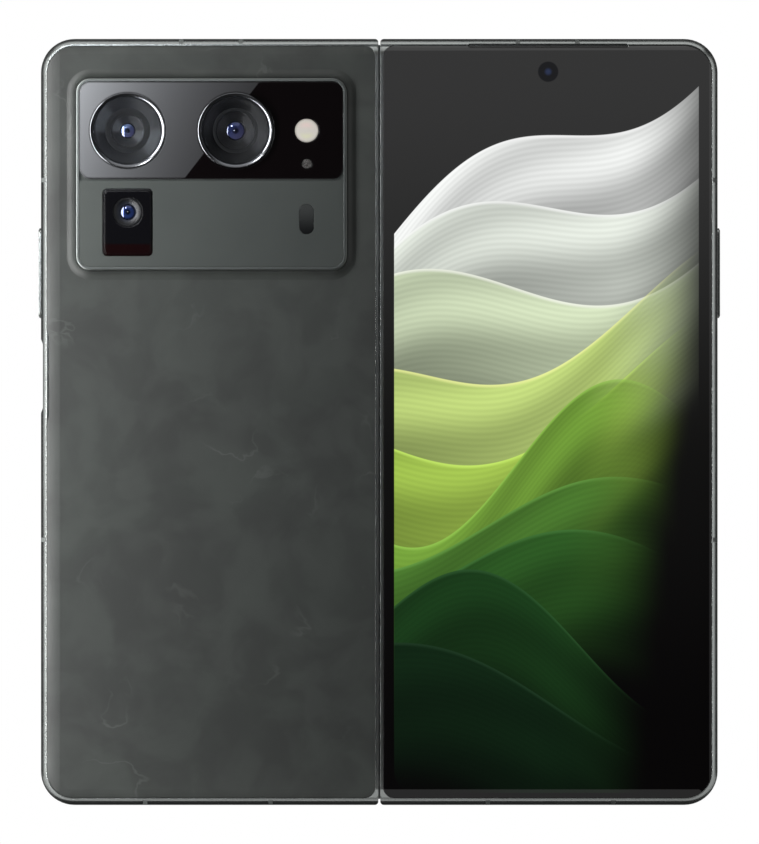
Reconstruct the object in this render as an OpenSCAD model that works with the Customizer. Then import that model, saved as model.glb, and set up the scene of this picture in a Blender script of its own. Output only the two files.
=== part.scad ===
// Foldable smartphone, open flat and standing upright. The outer side, with the
// camera island and the cover display, faces -Y. The inner screen faces +Y.
// Millimetres. The origin is the middle of the overall box, at its lowest edge.
// "Depth" is measured from the flat outer face (0) towards the inner screen.
// Every piece of a half is drawn for the left half, the camera half. The right
// half, the display half, mirrors what the two halves share.

/* [Body] */
// Height of the phone, from its lower edge to its upper edge
body_h = 159.4; // [152:0.2:170]
// Width of one half, from the seam to its outer edge
half_w = 70.2; // [69:0.2:76]
// Thickness of one half over its flat faces
half_t = 6.9; // [6.9:0.05:7.6]
// Gap between the two halves at the seam, phone flat
seam_gap = 0.4; // [0.3:0.05:0.6]
// Plan radius of the two outer corners of a half
corner_r = 7; // [6:0.25:9]
// Plan radius of the two corners of a half beside the seam
seam_corner_r = 0.8; // [0.5:0.1:1.2]
// Radius of the crown along a side wall, seen in section
edge_r = 3.3; // [2.8:0.05:3.4]
// Radius of the rounding between the crown and the flat of a side wall
edge_round = 0.7; // [0.6:0.05:0.8]
// Slope of the crown where it starts beside a flat face, in degrees
crown_near = 24; // [23:0.5:28]
// Slope of the crown where it meets that rounding, in degrees
crown_far = 44; // [40:0.5:46]
// Wall of the frame along the upper, lower and outer edges
frame_wall = 2; // [1.9:0.05:2.2]
// Wall of the frame at the two ends of the hinge
end_wall = 1.2; // [1.1:0.05:1.4]
// Plate of the frame that carries the inner screen
mid_plate_t = 0.55; // [0.5:0.05:0.6]
// Width of a plastic antenna band
band_w = 0.9; // [0.6:0.1:1.2]
// Depth of an antenna band in the frame
band_d = 1; // [0.8:0.05:1.1]
// Distance of the upper antenna bands from the seam
upper_bands = [28.6, 41];
// Distance of the lower antenna bands from the seam
lower_bands = [22.4, 48.5];
// Height of the two bands in the outer edge
edge_bands = [55.2, 130];

/* [Outer panels] */
// Thickness of the rear cover and the cover glass
cover_t = 0.55; // [0.5:0.05:0.6]
// Film of adhesive behind an outer panel
panel_seat = 0.05; // [0.03:0.01:0.06]
// Gap all round an outer panel in its frame
cover_gap = 0.08; // [0.05:0.01:0.1]
// Inset of an outer panel from the outer edge
side_inset = 1.3; // [1.25:0.01:1.35]
// Inset of an outer panel from the upper and lower edges
end_inset = 1.55; // [1.5:0.01:1.6]
// Inset of an outer panel from the seam edge of its half
seam_inset = 0.67; // [0.6:0.01:0.8]
// Plan radius of a panel's corners beside the seam
panel_seam_r = 2.3; // [1.5:0.1:3]
// How far a panel's edges curve down to the frame
panel_drop = 0.45; // [0.4:0.01:0.5]
// How far the frame's ridge beside the seam lies below the panel
ridge_drop = 0.06; // [0.04:0.01:0.1]
// Radius of the long curve at a panel's outer edge
side_curve_r = 11; // [8:0.5:14]
// Radius of the short curve at a panel's upper and lower edges
end_curve_r = 5; // [4:0.5:7]

/* [Camera island] */
// Width of the camera island
island_w = 56.4; // [55:0.2:58]
// Height of the camera island
island_h = 40.1; // [40:0.1:42]
// Distance from the seam edge of the half to the island
island_from_seam = 6.5; // [6.3:0.1:7]
// Distance from the upper edge to the island
island_from_top = 8.2; // [7.8:0.1:8.3]
// Corner radius of the island
island_r = 3.1; // [2.5:0.1:3.5]
// How far the island stands out of the rear cover
island_rise = 1.7; // [1.5:0.1:2.2]
// Width of the bright rim round the island
rim_w = 0.75; // [0.6:0.05:0.9]
// Rounding of the rim's outer edge
rim_round = 0.4; // [0.2:0.05:0.5]
// Width of the swept flare that leads up to the island
flare_w = 2.2; // [1.8:0.1:2.6]
// Height of the swept flare at the island
flare_h = 1; // [0.8:0.05:1.2]
// Height of the glossy glass in the island's upper part
glass_h = 20.2; // [19.5:0.1:20.4]
// Thickness of that glass
glass_t = 0.6; // [0.5:0.05:0.7]
// Width of the groove between the glass and the plate below it
groove_w = 0.4; // [0.3:0.05:0.5]
// How far the plates in the island lie below its rim
plate_sink = 0.08; // [0.04:0.01:0.12]
// Thickness of the island's deck plate
deck_t = 1.25; // [1.15:0.05:1.35]

/* [Lenses] */
// Outer radius of the two large lens rings
ring_r = 7.8; // [7.6:0.05:8]
// How far the lens rings stand out of the island
ring_rise = 1; // [0.9:0.05:1.3]
// Width of the bright rim of a lens ring
ring_rim = 0.55; // [0.5:0.05:0.7]
// Thickness of a lens's cover glass
lens_glass_t = 0.45; // [0.4:0.05:0.5]
// Inner radius of the sloping black cone in a lens ring
cone_r = 4.7; // [4.5:0.05:5]
// Middle of the far column of lenses, from the far edge of the island
far_inset = 10.85; // [10.7:0.05:11]
// Distance from the seam edge to the portrait lens
near_column = 29.65; // [29:0.05:31]
// Distance from the seam edge to the flash, the sensor and the focus window
lamp_column = 14.9; // [14.4:0.05:15.4]
// Distance of the large lenses below the upper edge
lens_drop = 19.2; // [19.1:0.05:19.4]
// Radius of the flash lens
flash_r = 2.42; // [2:0.02:2.6]
// Radius of the light sensor
sensor_r = 0.93; // [0.7:0.01:1.2]
// Distance of the light sensor below the flash lens
sensor_drop = 6.9; // [6:0.1:7.4]
// Width of the window over the wide lens
window_w = 10.4; // [9.8:0.1:10.6]
// Height of the window over the wide lens
window_h = 13.95; // [13.4:0.05:14.2]
// Distance of the middle of that window below the upper edge
window_drop = 38.25; // [38:0.05:38.4]
// Height of the wide lens above the middle of its window
wide_lift = 2.15; // [1.8:0.05:2.4]
// Radius of the wide lens's opening
wide_r = 3.05; // [2.6:0.05:3.3]
// Width of the focus window
focus_w = 3; // [2.6:0.1:3.4]
// Height of the focus window
focus_h = 6.2; // [5.6:0.1:6.8]
// Distance of the focus window below the upper edge
focus_drop = 37.6; // [37:0.05:38.5]
// Clearance round every piece that is let into the island
inlay_gap = 0.05; // [0.03:0.01:0.08]

/* [Hinge] */
// Distance of each fold axis below the inner face of a half
axis_depth = 1.95; // [1.9:0.01:2]
// Half of the gap between the closed halves
closed_half_gap = 0.2; // [0.2:0.01:0.25]
// Metal skin between an outer panel and the hinge pocket
skin_t = 0.35; // [0.3:0.01:0.4]
// Clearance between the spine and a half's hinge pocket
spine_gap = 0.15; // [0.12:0.01:0.2]
// Wall of the spine cover
spine_wall = 0.5; // [0.4:0.01:0.52]
// Wall at each end of the spine cover
spine_end_t = 0.6; // [0.5:0.05:0.8]
// Wall of the frame between the hinge pocket and the inside of a half
pocket_wall = 0.55; // [0.5:0.05:0.7]
// Distance of the outer hinge brackets' middles from the ends of the hinge
bracket_end = 24; // [16:1:34]
// Thickness of a bracket's ears
ear_t = 1; // [0.8:0.05:1.2]
// Width of a hinge arm's finger along the hinge
arm_w = 4.2; // [3.6:0.1:4.6]
// Thickness of a hinge arm
arm_t = 0.5; // [0.4:0.01:0.54]
// Reach of a hinge arm from its fold axis into the half
arm_reach = 10.5; // [10:0.1:11]
// Radius of the arms' knuckles
knuckle_r = 0.95; // [0.85:0.01:0.98]
// Radius of the gear shafts
shaft_r = 0.5; // [0.4:0.01:0.52]
// Radius of the idler pins
pin_r = 0.4; // [0.3:0.01:0.45]
// Radial clearance of a turning shaft or gear
bore_gap = 0.05; // [0.04:0.01:0.08]
// Play beside each moving hinge piece, along the hinge
side_play = 0.1; // [0.08:0.01:0.15]
// Width of the synchronising gears
gear_w = 4; // [3:0.1:4.4]
// Tooth size (module) of the gears
tooth_m = 0.16; // [0.155:0.001:0.163]
// Teeth of a shaft gear
shaft_teeth = 10;
// Teeth of an idler gear
idler_teeth = 15;

/* [Inner screen] */
// Thickness of the flexible screen and its backing
screen_t = 0.6; // [0.55:0.01:0.65]
// How far the screen lies below the bezel's face
screen_sink = 0.25; // [0.22:0.01:0.28]
// Inset of the bezel ring from the edges
bezel_inset = 1.5; // [1.45:0.01:1.55]
// Width of the bezel ring
bezel_w = 1.8; // [1.6:0.05:2]
// How far the frame lies below the bezel's face
inner_drop = 0.25; // [0.22:0.01:0.28]
// Radius of the curve at the bezel's outer edge
bezel_curve_r = 4; // [3.6:0.1:4.4]
// Inset of the screen's hidden edge from the bezel ring's outside
screen_hide = 0.6; // [0.55:0.01:0.7]
// Half of the width of the screen's folding zone
fold_zone = 8; // [7.6:0.1:9]
// Clearance between the screen and what lies below or round it
screen_gap = 0.05; // [0.03:0.01:0.06]
// Radius of the inner camera's hole in the screen
inner_camera_r = 1.9; // [1.6:0.05:2.2]
// Distance of the inner camera from the seam edge
inner_camera_side = 52; // [48:0.5:56]
// Distance of the inner camera below the upper edge
inner_camera_drop = 7.4; // [7:0.1:8]

/* [Cover display] */
// Thickness of the display panel behind the cover glass
cover_panel_t = 0.3; // [0.25:0.01:0.3]
// Inset of the display panel from the cover glass's seam edge
panel_seam_inset = 2.6; // [2.6:0.1:3.2]
// Inset of the display panel from the cover glass's upper and lower edges
panel_end_inset = 1.5; // [1.4:0.1:2]
// Inset of the display panel from the cover glass's outer edge
panel_side_inset = 2.2; // [2.1:0.1:2.8]
// Distance of the cover camera below the upper edge
cover_camera_drop = 6.9; // [6.7:0.05:7.4]
// Distance of the cover camera from the seam edge of its half
cover_camera_side = 34.9; // [34:0.1:36]
// Radius of the cover camera's window
cover_camera_r = 1; // [0.8:0.05:1.2]
// Width of the earpiece slot
earpiece_w = 33.2; // [31:0.2:35]
// Height of the earpiece slot
earpiece_h = 0.4; // [0.35:0.01:0.45]

/* [Keys] */
// Length of a raised side key
key_l = 18.7; // [17:0.1:20]
// Height of the raised keys' middle above the lower edge
key_z = 110.7; // [109:0.1:112]
// How far a raised key stands out of the side
key_rise = 0.55; // [0.45:0.05:0.7]
// Width of a key across the phone's thickness
key_w = 2.2; // [1.8:0.1:2.4]
// Travel of a pressed key
key_travel = 0.25; // [0.2:0.01:0.3]
// Clearance around a key in its slot
key_gap = 0.08; // [0.06:0.01:0.12]
// Tilt of the volume key to each side, in degrees
key_tilt = 1.5; // [1:0.1:1.6]
// Length of the scoop around the power key
scoop_l = 15.5; // [15:0.1:16.5]
// Depth of that scoop
scoop_d = 0.42; // [0.3:0.02:0.5]
// Length of the sloping end of the scoop
scoop_ramp = 1.1; // [0.9:0.1:1.4]
// Height of the scoop's middle above the lower edge
scoop_z = 89.25; // [87:0.05:91]
// Length of the power key
power_l = 12.2; // [11:0.1:12.4]

/* [Ports] */
// Distance from the seam edge to the socket in the lower edge
socket_side = 35.5; // [33:0.1:37]
// Width of the socket's opening
socket_w = 8.94; // [8.9:0.02:9]
// Height of the socket's opening
socket_h = 3.26; // [3.2:0.02:3.3]
// Depth of the socket
socket_d = 7.2; // [6.8:0.1:7.6]
// How far the socket's mouth lies inside the lower edge
socket_set_back = 0.35; // [0.3:0.05:0.6]
// Thickness of the socket's floor
socket_floor_t = 1; // [0.8:0.1:1.4]
// Width of the socket's tongue
tongue_w = 6.7; // [6.5:0.05:6.9]
// Thickness of the socket's tongue
tongue_t = 0.7; // [0.6:0.05:0.8]
// How far the tongue's tip lies inside the socket's mouth
tongue_set_back = 0.65; // [0.5:0.05:0.9]
// Wall of the socket's shell
socket_wall = 0.3; // [0.25:0.01:0.35]
// Width of the card tray's face
tray_w = 12.6; // [12:0.1:13.4]
// Thickness of the card tray's face
tray_face_t = 1.7; // [1.5:0.05:1.9]
// Depth of the card tray's face in the frame
tray_face_d = 0.7; // [0.5:0.05:0.9]
// Length of the sheet that holds the cards
tray_l = 17; // [15:0.5:19]
// Thickness of that sheet
tray_t = 0.8; // [0.6:0.05:0.9]
// Rim of that sheet round the cards
tray_rim = 0.8; // [0.6:0.1:1.2]
// How much narrower than the tray's face the sheet is on each side
tray_step = 0.6; // [0.4:0.05:0.8]
// Clearance between the card tray and the walls of its reader
reader_gap = 0.3; // [0.2:0.05:0.4]
// Wall of the card reader
reader_wall = 0.9; // [0.6:0.1:1.2]
// Distance from the seam edge to the card tray
tray_side = 34; // [33:0.5:37]
// Radius of the drilled speaker and microphone holes
drill_r = 0.5; // [0.4:0.02:0.55]
// Spacing of the drilled speaker holes
drill_pitch = 1.6; // [1.5:0.05:1.8]
// Distance from the seam edge to the middle of the upper speaker holes
speaker_side = 46.5; // [45.5:0.5:52]
// Distance from the seam edge to the middle of the lower speaker holes
grille_side = 55.5; // [53:0.5:58]
// Distance from the seam edge to a microphone hole
microphone_side = 27.5; // [24.5:0.5:27.5]

/* [Inside] */
// Side of the main camera's square housing
main_housing = 13; // [11:0.5:14]
// Side of the portrait camera's square housing
portrait_housing = 12.4; // [10:0.2:13]
// Side of the wide camera's square housing
wide_housing = 9.8; // [8:0.2:10]
// Clearance of the main board round a camera's housing
housing_gap = 0.3; // [0.2:0.05:0.5]
// Height of the main board
board_h = 58.4; // [56:0.2:62]
// Height of the charging board beside the socket
charging_board_h = 8.5; // [8.5:0.1:12]
// Height of the display half's lower board
sub_board_h = 34; // [26:0.5:44]
// Gap between a board and the frame's wall
board_gap = 1; // [0.8:0.1:1.5]
// Thickness of the boards
board_t = 0.7; // [0.6:0.05:0.8]
// Height of the shield cans on the main board
can_h = 2; // [1.2:0.1:2.2]
// Gap between a battery and what lies above and below it
battery_gap = 1.5; // [1:0.1:3]
// Width of the loudspeaker's box
speaker_w = 17; // [12:0.5:18]
// Height of the loudspeaker's box and of the receiver's
speaker_h = 5; // [4:0.1:5.4]
// Thickness of the loudspeaker's box
speaker_t = 3.3; // [2.8:0.05:3.4]
// Width of the receiver behind the earpiece
receiver_w = 14; // [10:0.5:15]
// Thickness of the receiver
receiver_t = 2.7; // [2.2:0.05:3]
// Width of the vibration motor
motor_w = 8; // [6:0.5:9]
// Height of the vibration motor
motor_h = 16; // [12:0.5:18]
// Thickness of the vibration motor
motor_t = 3; // [2.6:0.1:3.2]
// Side of the small cameras' square housings
small_housing = 6; // [5:0.1:6.5]
// Width of the key flexes
flex_w = 2.8; // [2.4:0.1:3]
// Thickness of the key flexes
flex_t = 0.25; // [0.2:0.01:0.3]
// Radius of the domed switches under the keys
switch_r = 1.1; // [0.9:0.05:1.2]

/* [Hidden] */
$fn = 64;
BIG = 400;
RUN = 0.1;            // clearance between pieces that are only laid beside each other

// Where the card tray's sheet starts, a little way inside the tray's face
tray_sheet_z = tray_face_d - 0.1;

// Depths of the layers
bump = island_rise + ring_rise;
depth_mid = (half_t - bump) / 2;
mid_v = half_t / 2;
frame_lo = panel_drop;
crown_inset = edge_r * (sin(crown_far) - sin(crown_near)) + edge_round * (1 - sin(crown_far));
crown_run = edge_r * (cos(crown_near) - cos(crown_far)) + edge_round * cos(crown_far);
frame_hi = half_t - inner_drop;
screen_hi = half_t - screen_sink;
screen_lo = screen_hi - screen_t;
plate_lo = screen_lo - mid_plate_t;
panel_back = cover_t + panel_seat;
arm_lo = plate_lo - arm_t;
rim_v = -island_rise;
deck_v = rim_v + plate_sink;
deck_back = deck_v + deck_t;
ring_v = -bump;
lens_seat_v = ring_v + RUN + lens_glass_t;

// Places across the half
seam_x = -seam_gap / 2;
outer_x = seam_x - half_w;
cavity_x0 = outer_x + frame_wall;
axis_v = half_t - axis_depth;
axis_x = -(axis_depth + closed_half_gap);
relief_r = axis_depth + closed_half_gap - screen_gap;
pocket_r = axis_v - panel_back - skin_t;
spine_r = pocket_r - spine_gap;
spine_in_r = spine_r - spine_wall;
cavity_x1 = axis_x - pocket_r - pocket_wall;
rim_drop = screen_gap;
inside_x1 = axis_x - arm_reach - 1.5;

// Places along the hinge
bracket_z = [bracket_end, body_h / 2, body_h - bracket_end];
spine_z0 = end_wall + RUN;
spine_z1 = body_h - spine_z0;
arm_shift = gear_w / 2 + ear_t + 2 * side_play + arm_w / 2;
bracket_half = arm_shift + arm_w / 2 + side_play + ear_t;
base_half = arm_shift + arm_w / 2;
arm_screw_x = axis_x - arm_reach + 2.4;
arm_screw_shift = 5;

// Camera island
island_x1 = seam_x - island_from_seam;
island_x0 = island_x1 - island_w;
island_z1 = body_h - island_from_top;
island_z0 = island_z1 - island_h;
main_x = island_x0 + far_inset;
portrait_x = seam_x - near_column;
lamp_x = seam_x - lamp_column;
lens_z = body_h - lens_drop;
window_z = body_h - window_drop;
focus_z = body_h - focus_drop;
glass_z0 = island_z1 - rim_w - inlay_gap - glass_h;

// Cameras of the display half, drawn on the camera half's side and mirrored
inner_camera_x = seam_x - inner_camera_side;
inner_camera_z = body_h - inner_camera_drop;
cover_camera_x = seam_x - cover_camera_side;
cover_camera_z = body_h - cover_camera_drop;

// A plan outline (x, height) filled between two depths
module plan(d0, d1) {
    translate([0, d1 - depth_mid, 0]) rotate([90, 0, 0]) linear_extrude(d1 - d0) children();
}

// A section (x, depth) run up between two heights
module rail(z0, z1) {
    translate([0, -depth_mid, z0]) linear_extrude(z1 - z0) children();
}

// A section (depth, height) run across between two x values
module cross(x0, x1) {
    translate([x0, -depth_mid, 0]) rotate([90, 0, 90]) linear_extrude(x1 - x0) children();
}

// A profile (radius, depth) turned about an axis through the thickness
module turned(x, z, start = 0, angle = 360) {
    translate([x, -depth_mid, z]) rotate([-90, 0, 0]) rotate([0, 0, start])
        rotate_extrude(angle = angle) children();
}

// A round pin or hole through the thickness
module post(x, z, r, d0, d1) {
    translate([x, d0 - depth_mid, z]) rotate([-90, 0, 0]) cylinder(r = r, h = d1 - d0);
}

// A round pin or hole along the hinge
module shaft(x, v, r, z0, z1) {
    translate([x, v - depth_mid, z0]) cylinder(r = r, h = z1 - z0);
}

// The display half's side of what is drawn for the camera half
module right_half() {
    mirror([1, 0, 0]) children();
}

module quarter(x, y, sx, sy, r) {
    translate([x, y]) intersection() {
        circle(r);
        translate([sx < 0 ? -r : 0, sy < 0 ? -r : 0]) square(r);
    }
}

// A rectangle with one radius on its left corners and one on its right corners
module round_box(x0, x1, y0, y1, rl, rr) {
    translate([x0 + rl, y0]) square([x1 - rr - x0 - rl, y1 - y0]);
    translate([x0, y0 + rl]) square([rl, y1 - y0 - 2 * rl]);
    translate([x1 - rr, y0 + rr]) square([rr, y1 - y0 - 2 * rr]);
    quarter(x0 + rl, y0 + rl, -1, -1, rl);
    quarter(x0 + rl, y1 - rl, -1, 1, rl);
    quarter(x1 - rr, y0 + rr, 1, -1, rr);
    quarter(x1 - rr, y1 - rr, 1, 1, rr);
}

module centred_box(x, y, w, h, r) {
    round_box(x - w / 2, x + w / 2, y - h / 2, y + h / 2, r, r);
}

// A slot with round ends, centred, longer along x
module slot_shape(w, h) {
    translate([-(w - h) / 2, -h / 2]) square([w - h, h]);
    for (s = [-1, 1]) translate([s * (w - h) / 2, 0]) circle(h / 2);
}

// A profile (distance outwards, depth) run round a rectangle with round corners
module run_round(x0, x1, z0, z1, r) {
    corners = [[x0 + r, z0 + r, 90], [x0 + r, z1 - r, 180], [x1 - r, z1 - r, 270], [x1 - r, z0 + r, 0]];
    for (c = corners) turned(c[0], c[1], c[2], 90) translate([r, 0]) children();
    rail(z0 + r, z1 - r) {
        translate([x0, 0]) mirror([1, 0]) children();
        translate([x1, 0]) children();
    }
    cross(x0 + r, x1 - r) {
        translate([0, z0]) rotate(-90) children();
        translate([0, z1]) mirror([0, 1]) rotate(-90) children();
    }
}

// ---------------------------------------------------------------- outer form

// Section of a side wall's crown and of the rounding that leads to the flat side at x = r
module crown_profile(r) {
    between = edge_r - edge_round;
    translate([r - edge_round, crown_run]) circle(edge_round);
    intersection() {
        translate([r - edge_round - between * sin(crown_far), crown_run + between * cos(crown_far)])
            circle(edge_r);
        square([r - edge_round * (1 - sin(crown_far)), crown_run]);
    }
}

// Section of a side wall, flat in the middle and crowned towards both faces
module wall_profile(r) {
    frame_t = frame_hi - frame_lo;
    translate([0, frame_lo]) {
        crown_profile(r);
        square([r - crown_inset, frame_t]);
        translate([0, crown_run]) square([r, frame_t - 2 * crown_run]);
    }
    translate([0, frame_hi]) mirror([0, 1]) crown_profile(r);
}

// Plan of a half that rounds only the two corners beside the seam
module seam_clip() {
    inner = seam_x - seam_corner_r;
    translate([outer_x - 1, -1]) square([inner - outer_x + 1, body_h + 2]);
    translate([inner, seam_corner_r]) square([seam_corner_r, body_h - 2 * seam_corner_r]);
    quarter(inner, seam_corner_r, 1, -1, seam_corner_r);
    quarter(inner, body_h - seam_corner_r, 1, 1, seam_corner_r);
}

// The outer form of a half, with crowned walls on three sides
module half_form() {
    intersection() {
        union() {
            rail(corner_r, body_h - corner_r) translate([outer_x + corner_r, 0]) {
                mirror([1, 0]) wall_profile(corner_r);
                translate([0, frame_lo]) square([half_w - corner_r, frame_hi - frame_lo]);
            }
            cross(outer_x + corner_r, seam_x) {
                translate([0, corner_r]) rotate(-90) wall_profile(corner_r);
                translate([0, body_h - corner_r]) mirror([0, 1]) rotate(-90) wall_profile(corner_r);
            }
            turned(outer_x + corner_r, corner_r, 90, 90) wall_profile(corner_r);
            turned(outer_x + corner_r, body_h - corner_r, 180, 90) wall_profile(corner_r);
        }
        plan(-1, half_t + 1) seam_clip();
    }
}

// Everything behind the curved outer surface of a panel, moved in by shift
module panel_block(shift, reach = 4) {
    side_len = sqrt(2 * side_curve_r * panel_drop - pow(panel_drop, 2));
    end_len = sqrt(2 * end_curve_r * panel_drop - pow(panel_drop, 2));
    x_flat = outer_x + side_inset + side_len;
    z_flat = end_inset + end_len;
    translate([0, shift, 0]) intersection() {
        rail(-1, body_h + 1) intersection() {
            union() {
                translate([x_flat, side_curve_r - 0.01]) circle(side_curve_r);
                translate([x_flat, -1]) square([half_w, reach + 1]);
            }
            translate([outer_x - 1, 0]) square([half_w + 2, reach]);
        }
        cross(outer_x - 2, seam_x + 2) intersection() {
            union() {
                translate([end_curve_r - 0.01, z_flat]) circle(end_curve_r);
                translate([-1, z_flat]) square([reach + 1, body_h - 2 * z_flat]);
                translate([end_curve_r - 0.01, body_h - z_flat]) circle(end_curve_r);
            }
            translate([0, -1]) square([reach, body_h + 2]);
        }
    }
}

// Plan of the power key's scoop, cut in from a line at a distance from the edge
module scoop_plan(inset, length, depth) {
    x = outer_x + inset;
    half_l = length / 2;
    translate([0, scoop_z]) polygon([
        [x - 1, -half_l], [x, -half_l], [x + depth, scoop_ramp - half_l],
        [x + depth, half_l - scoop_ramp], [x, half_l], [x - 1, half_l]
    ]);
}

// Plan of an outer panel, grown all round
module panel_plan(grow, notched) {
    difference() {
        round_box(outer_x + side_inset - grow, seam_x - seam_inset + grow,
                  end_inset - grow, body_h - end_inset + grow,
                  corner_r - side_inset + grow, panel_seam_r + grow);
        if (notched) scoop_plan(side_inset - grow, scoop_l + 3.6, scoop_d);
    }
}

module panel_shell(notched) {
    difference() {
        intersection() {
            panel_block(0);
            plan(-1, 3) panel_plan(0, notched);
        }
        panel_block(cover_t);
    }
}

// ---------------------------------------------------------------- frames

module pocket_section() {
    translate([axis_x, axis_v]) circle(pocket_r);
    translate([axis_x, axis_v - pocket_r]) square([1 - axis_x, half_t]);
    translate([axis_x - pocket_r, axis_v]) square([pocket_r + 1, half_t]);
}

// What would cross the middle plane as the half folds
module fold_relief() {
    rail(-1, body_h + 1) translate([axis_x, axis_v]) difference() {
        square(half_t);
        circle(relief_r);
    }
}

module inner_plan(inset) {
    round_box(outer_x + inset, 5, inset, body_h - inset, corner_r - inset, 1);
}

module band_slabs() {
    half_band = band_w / 2;
    plan(-1, half_t + 1) {
        for (d = upper_bands) translate([seam_x - d - half_band, body_h - band_d]) square([band_w, 3]);
        for (d = lower_bands) translate([seam_x - d - half_band, band_d - 3]) square([band_w, 3]);
        for (z = edge_bands) translate([outer_x + band_d - 3, z - half_band]) square([3, band_w]);
    }
}

module half_shell(notched) {
    difference() {
        union() {
            half_form();
            intersection() {
                panel_block(ridge_drop);
                plan(0, 3) round_box(outer_x + 10, seam_x, end_inset, body_h - end_inset, 1, seam_corner_r);
            }
        }
        difference() {
            plan(-1, 3) panel_plan(cover_gap, notched);
            panel_block(panel_back);
        }
        plan(-1, plate_lo) round_box(cavity_x0, cavity_x1, frame_wall, body_h - frame_wall,
                                     corner_r - frame_wall, 1);
        rail(end_wall, body_h - end_wall) pocket_section();
        plan(screen_lo, half_t + 1) inner_plan(bezel_inset);
        fold_relief();
        band_slabs();
        for (bz = bracket_z) {
            for (s = [-1, 1]) {
                rail(bz + s * arm_shift - arm_w / 2 - side_play, bz + s * arm_shift + arm_w / 2 + side_play)
                    translate([cavity_x1 - 1, arm_lo - RUN]) square([2, arm_t + RUN]);
                post(arm_screw_x, bz + s * arm_screw_shift, 0.5, plate_lo - 1, screen_lo + 1);
            }
        }
    }
}

module key_slot(z, length, x0, x1, grow) {
    translate([x0, mid_v - depth_mid, z]) rotate([90, 0, 90]) linear_extrude(x1 - x0)
        rotate(90) slot_shape(length + 2 * grow, key_w + 2 * grow);
}

module edge_drill(x, z0, z1) {
    shaft(x, mid_v, drill_r, z0, z1);
}

speaker_x = seam_x - speaker_side;
microphone_x = seam_x - microphone_side;
grille_x = seam_x - grille_side;

module camera_half_frame() {
    color([0.36, 0.38, 0.37]) difference() {
        half_shell(true);
        plan(-1, half_t + 1) scoop_plan(0, scoop_l, scoop_d);
        key_slot(key_z, key_l, outer_x - 1, cavity_x0 + 1, key_gap);
        key_slot(scoop_z, power_l, outer_x - 1, cavity_x0 + 1, key_gap);
        translate([seam_x - socket_side, mid_v - depth_mid, -1]) linear_extrude(frame_wall + 2)
            slot_shape(socket_w + 2 * key_gap, socket_h + 2 * key_gap);
        for (i = [-2 : 2]) edge_drill(speaker_x + i * drill_pitch, body_h - frame_wall - 1, body_h + 1);
        for (i = [-2 : 1]) edge_drill(grille_x + i * drill_pitch, -1, frame_wall + 1);
        edge_drill(microphone_x, -1, frame_wall + 1);
    }
}

module display_half_frame() {
    color([0.36, 0.38, 0.37]) right_half() difference() {
        half_shell(false);
        key_slot(key_z, key_l, outer_x - 1, cavity_x0 + 1, key_gap);
        plan(panel_back, panel_back + cover_panel_t + panel_seat) display_plan(RUN);
        translate([seam_x - tray_side, mid_v - depth_mid, -1]) linear_extrude(frame_wall + 2)
            slot_shape(tray_w + 2 * key_gap, tray_face_t + 2 * key_gap);
        for (i = [-2 : 2]) edge_drill(grille_x + i * drill_pitch, -1, frame_wall + 1);
        edge_drill(microphone_x, body_h - frame_wall - 1, body_h + 1);
        post(inner_camera_x, inner_camera_z, inner_camera_r, plate_lo - 1, screen_lo + 1);
        plan(-1, cover_t + 1) translate([cover_camera_x, body_h - end_inset])
            earpiece_plan(RUN);
    }
}

module antenna_bands() {
    intersection() {
        half_form();
        band_slabs();
    }
}

module camera_half_antenna_bands() {
    color([0.2, 0.21, 0.21]) antenna_bands();
}

module display_half_antenna_bands() {
    color([0.2, 0.21, 0.21]) right_half() antenna_bands();
}

// ---------------------------------------------------------------- rear cover and island

module island_plan(grow) {
    round_box(island_x0 - grow, island_x1 + grow, island_z0 - grow, island_z1 + grow,
              island_r + grow, island_r + grow);
}

// Concave sweep from the cover up to the island, seen in section
module flare_profile() {
    sweep_r = (pow(flare_w, 2) + pow(flare_h, 2)) / (2 * flare_h);
    intersection() {
        translate([inlay_gap, -2]) square([flare_w, 4]);
        difference() {
            translate([0, -flare_h]) square([flare_w, flare_h + cover_t / 2]);
            translate([flare_w, -sweep_r + 0.02]) circle(sweep_r);
        }
    }
}

module rear_cover() {
    color([0.24, 0.25, 0.245]) difference() {
        union() {
            panel_shell(true);
            run_round(island_x0, island_x1, island_z0, island_z1, island_r) flare_profile();
        }
        plan(rim_v, 2) island_plan(inlay_gap);
    }
}

module camera_rim() {
    color([0.75, 0.76, 0.78]) run_round(island_x0, island_x1, island_z0, island_z1, island_r) {
        translate([-rim_w, rim_v]) square([rim_w - rim_round, cover_t - rim_v]);
        translate([-rim_round, rim_v + rim_round]) square([rim_round, cover_t - rim_v - rim_round]);
        quarter(-rim_round, rim_v + rim_round, 1, -1, rim_round);
    }
}

module glass_plan(grow) {
    inset = rim_w + inlay_gap - grow;
    r = island_r - rim_w - inlay_gap + grow;
    round_box(island_x0 + inset, island_x1 - inset, glass_z0 - grow, island_z1 - inset, r, r);
}

module lens_holes(d0, d1) {
    post(main_x, lens_z, ring_r + inlay_gap, d0, d1);
    post(portrait_x, lens_z, ring_r + inlay_gap, d0, d1);
    post(lamp_x, lens_z, flash_r + inlay_gap, d0, d1);
    post(lamp_x, lens_z - sensor_drop, sensor_r + inlay_gap, d0, d1);
}

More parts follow.
